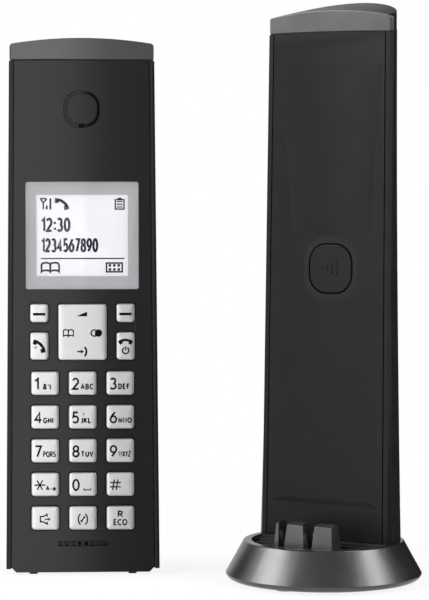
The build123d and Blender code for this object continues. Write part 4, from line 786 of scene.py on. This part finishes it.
def display_marks():
    """Flat shapes of the display's segments, about the window's middle."""
    shapes = stroke([(-13.2, 11.6), (-12.3, 10.4), (-12.3, 8.3)], 0.5)
    shapes += stroke([(-12.3, 10.4), (-11.3, 11.6)], 0.5)
    shapes += stroke([(-13.3, 11.7), (-11.2, 11.7)], 0.46)
    for left, height in ((-11.5, 1.2), (-10.35, 3.5)):
        shapes += bar(left, left + 0.6, 8.3, 8.3 + height)
    shapes += shifted(handset_glyph(-36), -6.4, 10.1, 0.84)
    shapes += stroke([(10.55, 8.35), (13.3, 8.35), (13.3, 11.35), (10.55, 11.35)], 0.42, True)
    shapes += bar(11.3, 12.55, 11.55, 11.95)
    for bottom in (8.85, 9.7, 10.55):
        shapes += bar(11.0, 12.85, bottom, bottom + 0.36)
    shapes += lettering("12:30", -13.1, 1.1, 4.6, 0.74, 9.4)
    shapes += lettering("1234567890", -13.1, -5.4, 4.55, 0.72, 18.2)
    shapes += bar(-13.2, 13.4, -7.53, -7.15)
    shapes += shifted(book_glyph(5.6, 3.0, 0.6), -10.15, -10.15)
    shapes += stroke([(7.7, -11.6), (12.7, -11.6), (12.7, -8.8), (7.7, -8.8)], 0.5, True)
    for column in (8.8, 10.2, 11.6):
        for row in (-10.85, -9.55):
            shapes += bar(column - 0.4, column + 0.4, row - 0.4, row + 0.4)
    return shapes


def paging_legend():
    """Flat shapes of the paging button's mark: an angle and three waves, about the button's middle."""
    shapes = stroke([(-2.5, 0.65), (-3.25, 0), (-2.5, -0.65)], 0.26)
    for x, bend in ((-2.1, 1.625), (-0.55, 2.25), (0.9, 2.875)):
        shapes += stroke(oval(x, 0, 0.62 * bend, bend, -52, 52, 10), 0.30)
    return shapes


def microphone_painted_shade_lines():
    """Painted shade as flat dark lines round the microphone's slot and its blind dimples, in the handset's own
    frame.
    """
    shapes = stroke(rounded_outline(*MICROPHONE_SLOT), 0.18, True)
    for place in (-3.5, -2.5, -1.5, 1.5, 2.5, 3.5):
        shapes += stroke(circle(place * DIMPLE_PITCH, 0, 0.54), 0.24, True)
    return shifted(shapes, 0, MICROPHONE_Z)


def earpiece_channel():
    """Channel round the earpiece with a polished floor, and rims and walls in black cloth as painted shade, open
    below for the sound slot.
    """
    top, floor, back = EARPIECE_DEPTHS
    across = EARPIECE_OUTER - EARPIECE_INNER
    far = across - EARPIECE_RIM
    profile = ((0, top), (0, back), (across, back), (across, top), (far, top), (far, floor),
               (EARPIECE_RIM, floor), (EARPIECE_RIM, top))
    floor_side = 5
    outer, inner = (rounded_outline(half, half, half - EARPIECE_FLAT, FINE_CORNER_STEPS)
                    for half in (EARPIECE_OUTER, EARPIECE_INNER))
    path = list(zip(outer, inner))
    slot = 3 * len(path) // 4
    work = bmesh.new()
    rings = []
    for start, end in path[slot:] + path[:slot]:
        spots = [(Vector(start).lerp(Vector(end), step / across), y) for step, y in profile]
        rings.append([work.verts.new((spot.x, y, EARPIECE_Z + spot.y)) for spot, y in spots])
    for before, after in zip(rings, rings[1:]):
        for i in range(len(profile)):
            j = (i + 1) % len(profile)
            face = work.faces.new((before[i], before[j], after[j], after[i]))
            # All faces but the floor get the black cloth: painted shade on the channel's rims and walls
            face.material_index = int(i != floor_side)
    for end in (rings[0], rings[-1]):
        work.faces.new(end).material_index = 1
    add_piece("earpiece_channel", to_mesh(work, "earpiece_channel", HANDSET),
              ("polished_black_plastic", "black_dust_cloth"), "handset")


def seam_shade_lining(name, nodes, place, heights):
    """Black lining inside the seam under a cap as painted shade, set in from the plan of the cap's own nodes."""
    points = [(point.x, point.y) for node in nodes for point in own_points(node, place)]
    plan = [Vector(points[i]) for i in geometry.convex_hull_2d(points)]
    middle = sum(plan, Vector((0, 0))) / len(plan)
    plan = [middle + (point - middle) * (1 - SEAM_INSET / (point - middle).length) for point in plan]
    work = bmesh.new()
    skin(work, [[(point.x, point.y, z) for point in plan] for z in heights])
    bmesh.ops.remove_doubles(work, verts=work.verts, dist=WELD)
    add_piece(name, to_mesh(work, name, place), ("black_dust_cloth",), BODY_OF[nodes[0]])


class PHONE_OT_handset_shell(Operator):
    """Dress the handset's rear case, faceplate, top cap and battery cover"""

    bl_idname = "phone.handset_shell"
    bl_label = "Handset shell"

    def execute(self, context):
        edge = context.scene.phone_sizes.case_edge
        dress("handset_rear_case", "satin_black_plastic", edge)
        dress("handset_faceplate", "sheen_black_plastic", edge * FACEPLATE_EDGE_SHARE)
        dress("handset_top_cap", "cap_grey_lacquer", edge)
        dress("battery_cover", "satin_black_plastic", edge)
        earpiece_channel()
        # Dark lines round the microphone's slot and dimples: painted shade
        print_on("microphone_slot_lines", microphone_painted_shade_lines(), HANDSET, SLOT_FLOOR, "black_key_print", "handset")
        # Black lining in the seam under the cap: painted shade
        seam_shade_lining("handset_seam", ("handset_top_cap",), HANDSET, HANDSET_SEAM)
        return {"FINISHED"}


class PHONE_OT_handset_keys(Operator):
    """Make the push keys and the rocker with rounded edges and their print"""

    bl_idname = "phone.handset_keys"
    bl_label = "Handset keys"

    def make_key(self, node, root, back, shapes):
        """Key with a silver cap above the handset's face, a rubber skirt below it and print on its own face."""
        sizes = bpy.context.scene.phone_sizes
        x, z, half_x, half_z = front_area(node, HANDSET, root - KEY_OVER_ROOT)
        work = bmesh.new()
        skin(work, key_rings(x, z, half_x, half_z, sizes.key_corner, sizes.key_edge, root, back))
        if node in DOT_PLACES:
            right, up = DOT_PLACES[node]
            skin(work, dot_rings(x + right, z + up))
        for face in work.faces:
            face.material_index = int(min(vert.co.y for vert in face.verts) > -WELD)
        body = BODY_OF[node]
        add_piece(node + "_cap", to_mesh(work, node, HANDSET), ("silver_key_paint", "matt_rubber"), body, (node,))
        legend = shifted(shapes, x / MM, z / MM)
        print_on(node + "_print", legend, HANDSET, KEY_FACE - PRINT_RISE, "black_key_print", body)

    def execute(self, context):
        legends = key_legends()
        for node in PUSH_KEYS:
            self.make_key(node, KEY_ROOT, KEY_BACK, legends[node])
        self.make_key("navigator_key", NAVIGATOR_ROOT, NAVIGATOR_BACK, navigator_legend())
        return {"FINISHED"}


class PHONE_OT_display(Operator):
    """Make the window, the lit display and its segments"""

    bl_idname = "phone.display"
    bl_label = "Display"

    def execute(self, context):
        dress("display_window", "clear_window", WINDOW_EDGE)
        dress("lcd_panel", "display_border", 0)
        x, z, half_x, half_z = (part / MM for part in front_area("display_window", HANDSET, WINDOW_SEEN))
        border = between(rounded_outline(half_x - BORDER_INSET, half_z - BORDER_INSET, BORDER_CORNER),
                         rounded_outline(*BORDER_OPENING))
        lit_area = [rounded_outline(*LIT_AREA)]
        segment_depth = LCD_FACE - 2 * context.scene.phone_sizes.print_thickness
        for name, shapes, depth, material in (
                ("display_border_print", border, WINDOW_BACK, "display_border"),
                ("display_lit_area", lit_area, LCD_FACE, "lit_display"),
                ("display_segments", display_marks(), segment_depth, "display_segments")):
            print_on(name, shifted(shapes, x, z), HANDSET, depth, material, "handset")
        return {"FINISHED"}


class PHONE_OT_tower_shell(Operator):
    """Dress the tower's foot, column, panel, cap and cradle"""

    bl_idname = "phone.tower_shell"
    bl_label = "Tower shell"

    def execute(self, context):
        edge = context.scene.phone_sizes.case_edge
        dress("foot_cover", "metallic_grey_paint", edge)
        for node in ("column_rear_shell", "column_front_panel", "column_top_cap"):
            dress(node, "satin_black_plastic", edge)
        # Cradle and trim in the lightened grey: painted light
        dress("column_cap_trim", "trim_grey_paint", edge)
        dress("charge_cradle", "trim_grey_paint", CRADLE_EDGE)
        # Black lining in the seam under the tower's cap: painted shade
        seam_shade_lining("tower_seam", ("column_top_cap", "column_cap_trim"), Matrix.Identity(4), TOWER_SEAM)
        dress("bottom_plate", "satin_black_plastic", edge)
        dress("rubber_feet", "matt_rubber", edge)
        return {"FINISHED"}


class PHONE_OT_paging_button(Operator):
    """Make the paging button and its mark"""

    bl_idname = "phone.paging_button"
    bl_label = "Paging button"

    def execute(self, context):
        dress("paging_button", "matt_black_plastic", context.scene.phone_sizes.case_edge * BUTTON_EDGE_SHARE)
        # Zone round the button in the case black made 1.4 times lighter: painted sheen
        zone = between(rounded_outline(*SURROUND_OUTER, FINE_CORNER_STEPS),
                       rounded_outline(*SURROUND_INNER, FINE_CORNER_STEPS))
        hollow = BUTTON @ Matrix.Translation((0, SURROUND_DEPTH, 0)) @ Matrix.Rotation(SURROUND_SLOPE, 4, "X")
        print_on("paging_surround", zone, hollow, 0.0, "surround_black_plastic", BODY_OF["column_front_panel"])
        print_on("paging_button_print", paging_legend(), BUTTON, 0.0, "black_key_print", "paging_button")
        return {"FINISHED"}


class PHONE_OT_inner_pieces(Operator):
    """Give the solids that stay as they are their finishes"""

    bl_idname = "phone.inner_pieces"
    bl_label = "Inner pieces"

    finishes = {
        "white_light_guide": ("backlight",),
        "matt_rubber": ("navigator_pivot", "keypad_mat"),
        "green_board_lacquer": ("handset_circuit_board", "tower_circuit_board"),
        "dull_speaker_metal": ("earpiece_receiver", "handset_speaker"),
        "black_dust_cloth": ("earpiece_mesh", "microphone"),
        "grey_cell_sleeve": ("battery_cells",),
        "nickel_contact": ("battery_springs", "battery_terminals", "handset_charge_contacts", "charge_contacts"),
        "plated_steel": ("handset_screws", "tower_screws"),
        "dark_socket_plastic": ("paging_switch", "line_jack", "power_jack"),
    }

    def execute(self, context):
        for material, nodes in self.finishes.items():
            for node in nodes:
                slots = frame["nodes"][node].data.materials
                slots.clear()
                slots.append(finish(material))
        return {"FINISHED"}


class PHONE_OT_stage(Operator):
    """Set the floor, the studio light and the camera"""

    bl_idname = "phone.stage"
    bl_label = "Stage"

    camera_at = Vector((0.42543, -0.70952, 0.13539))
    camera_turn = (radians(90 - 3.245), 0, radians(33.332))
    camera_frame = 36
    middle = Vector((-0.035, -0.015, 0.085))

    # Floor: radius, colour, size and strength of its clouds, and the share of plain white from near to far
    floor_radius = 0.42
    floor_colour = (0.9, 0.9, 0.9)
    floor_clouds = (60 * MM, 0.01)
    fade_distances = (0.10, 0.30)
    fade_shares = (0.88, 1.0)

    # White room: directions, as sines of their height, and the strengths between them
    room_heights = (sin(radians(22)), sin(radians(40)))
    room_strengths = (1.0, 0.38)

    # Distances to the right of, above and in front of the object's middle as the camera sees it, width and height
    lamps = {
        "front_panel": ("front_lamp", (-0.159, 0.0, 0.86), (0.32, 0.66)),
        "left_softbox": ("left_lamp", (-0.60, 0.45, 0.09), (0.45, 0.45)),
        "right_strip": ("right_lamp", (0.58, 0.50, 0.16), (0.28, 0.50)),
    }
    flags = {
        "front_flag": ((0.406, 0.0, 0.80), (0.9, 1.4)),
        "back_flag": ((0.65, 0.25, -0.62), (1.3, 1.5)),
    }

    def add_camera(self, context):
        """Long lens beside the front panel of light, turned slightly down."""
        camera = add_object("camera", bpy.data.cameras.new("camera"))
        camera.location = self.camera_at
        camera.rotation_euler = self.camera_turn
        camera.data.lens = context.scene.phone_stage.lens
        camera.data.sensor_width = self.camera_frame
        context.scene.camera = camera

    def face_object(self, item, place):
        """Put an item at a place as the camera sees it, and turn it to the object."""
        right, up, front = place
        turn = self.camera_turn[2]
        across = Vector((cos(turn), sin(turn), 0))
        towards = Vector((sin(turn), -cos(turn), 0))
        item.location = self.middle + across * right + towards * front + Vector((0, 0, up))
        item.rotation_euler = (self.middle - item.location).to_track_quat("-Z", "Y").to_euler()

    def add_lamp(self, name, power, place, size):
        """Soft panel of light."""
        data = bpy.data.lights.new(name, "AREA")
        data.shape = "RECTANGLE"
        data.size, data.size_y = size
        data.energy = power
        self.face_object(add_object(name, data), place)

    def add_flag(self, name, place, size):
        """Black card that only reflections see."""
        work = bmesh.new()
        bmesh.ops.create_grid(work, x_segments=1, y_segments=1, size=0.5)
        bmesh.ops.scale(work, vec=(*size, 1), verts=work.verts)
        flag = add_object(name, to_mesh(work, name))
        self.face_object(flag, place)
        flag.data.materials.append(finish("black_dust_cloth"))
        flag.visible_camera = False
        flag.visible_diffuse = False
        flag.visible_shadow = False
        flag.visible_transmission = False

    def add_world(self, context):
        """White for what the camera and reflections see, and a dimmer even fill for the rest."""
        world = bpy.data.worlds.new("studio")
        world.use_nodes = True
        context.scene.world = world
        tree = world.node_tree
        tree.nodes.clear()
        fill, seen = (tree.nodes.new("ShaderNodeBackground") for _ in range(2))
        for light in (fill, seen):
            light.inputs["Color"].default_value = (1, 1, 1, 1)
        fill.inputs["Strength"].default_value = context.scene.phone_stage.fill
        tree.links.new(self.overhead_shade(tree), seen.inputs["Strength"])
        mix_shaders(tree, self.seen_rays(tree), fill, seen, tree.nodes.new("ShaderNodeOutputWorld"))

    def overhead_shade(self, tree):
        """Strength of the white room: 1 up to a low height, and dimmer overhead."""
        direction = tree.nodes.new("ShaderNodeTexCoord")
        parts = tree.nodes.new("ShaderNodeSeparateXYZ")
        tree.links.new(direction.outputs["Generated"], parts.inputs["Vector"])
        return spread(tree, parts.outputs["Z"], self.room_heights, self.room_strengths)

    def seen_rays(self, tree):
        """1 for rays from the camera, from gloss and through glass."""
        rays = tree.nodes.new("ShaderNodeLightPath").outputs
        direct = combine(tree, "MAXIMUM", rays["Is Camera Ray"], rays["Is Glossy Ray"])
        return combine(tree, "MAXIMUM", direct, rays["Is Transmission Ray"])

    def floor_fade(self, tree):
        """Share of plain white in the floor: most of it near the phone, and all of it further out."""
        coordinates = tree.nodes.new("ShaderNodeTexCoord")
        distance = tree.nodes.new("ShaderNodeVectorMath")
        distance.operation = "LENGTH"
        tree.links.new(coordinates.outputs["Object"], distance.inputs[0])
        return spread(tree, distance.outputs["Value"], self.fade_distances, self.fade_shares)

    def add_floor(self):
        """Pale round floor that keeps a soft shadow of the phone."""
        work = bmesh.new()
        bmesh.ops.create_circle(work, cap_ends=True, segments=96, radius=self.floor_radius)
        floor = add_object("floor", to_mesh(work, "floor"))
        floor.location = (self.middle.x, self.middle.y, 0)
        material = bpy.data.materials.new("pale_floor")
        material.use_nodes = True
        tree = material.node_tree
        shader = tree.nodes["Principled BSDF"]
        size, strength = self.floor_clouds
        shade = tint(tree, noise(tree, size), self.floor_colour, strength)
        tree.links.new(shade, shader.inputs["Base Color"])
        shader.inputs["Roughness"].default_value = 0.8
        shader.inputs["Specular IOR Level"].default_value = 0.1
        white = tree.nodes.new("ShaderNodeEmission")
        white.inputs["Strength"].default_value = 1.0
        share = combine(tree, "MULTIPLY", self.seen_rays(tree), self.floor_fade(tree))
        mix_shaders(tree, share, shader, white, tree.nodes["Material Output"])
        floor.data.materials.append(material)
        floor.visible_glossy = False

    def execute(self, context):
        context.scene.view_settings.view_transform = "Standard"
        self.add_camera(context)
        self.add_floor()
        self.add_world(context)
        for name, (power, place, size) in self.lamps.items():
            self.add_lamp(name, getattr(context.scene.phone_stage, power), place, size)
        for name, (place, size) in self.flags.items():
            self.add_flag(name, place, size)
        return {"FINISHED"}


class PHONE_PT_looks(Panel):
    """Sidebar panel with the phone's sizes, colours and steps"""

    bl_idname = "PHONE_PT_looks"
    bl_label = "Cordless phone"
    bl_space_type = "VIEW_3D"
    bl_region_type = "UI"
    bl_category = "Phone"

    def draw(self, context):
        for settings in (context.scene.phone_sizes, context.scene.phone_colours, context.scene.phone_stage):
            box = self.layout.box()
            for name in settings.__annotations__:
                box.prop(settings, name)
        for operator in OPERATORS:
            self.layout.operator(operator.bl_idname)


OPERATORS = (PHONE_OT_handset_shell, PHONE_OT_handset_keys, PHONE_OT_display, PHONE_OT_tower_shell,
             PHONE_OT_paging_button, PHONE_OT_inner_pieces, PHONE_OT_stage)
SETTINGS = {"phone_sizes": PhoneSizes, "phone_colours": PhoneColours, "phone_stage": PhoneStage}
CLASSES = (*SETTINGS.values(), *OPERATORS, PHONE_PT_looks)


def register():
    for kind in CLASSES:
        bpy.utils.register_class(kind)
    for name, kind in SETTINGS.items():
        setattr(bpy.types.Scene, name, PointerProperty(type=kind))


def unregister():
    for name in SETTINGS:
        delattr(bpy.types.Scene, name)
    for kind in reversed(CLASSES):
        bpy.utils.unregister_class(kind)


def main():
    register()
    bpy.ops.phone.handset_shell()
    bpy.ops.phone.handset_keys()
    bpy.ops.phone.display()
    bpy.ops.phone.tower_shell()
    bpy.ops.phone.paging_button()
    bpy.ops.phone.inner_pieces()
    bpy.ops.phone.stage()


if __name__ == "__main__":
    main()
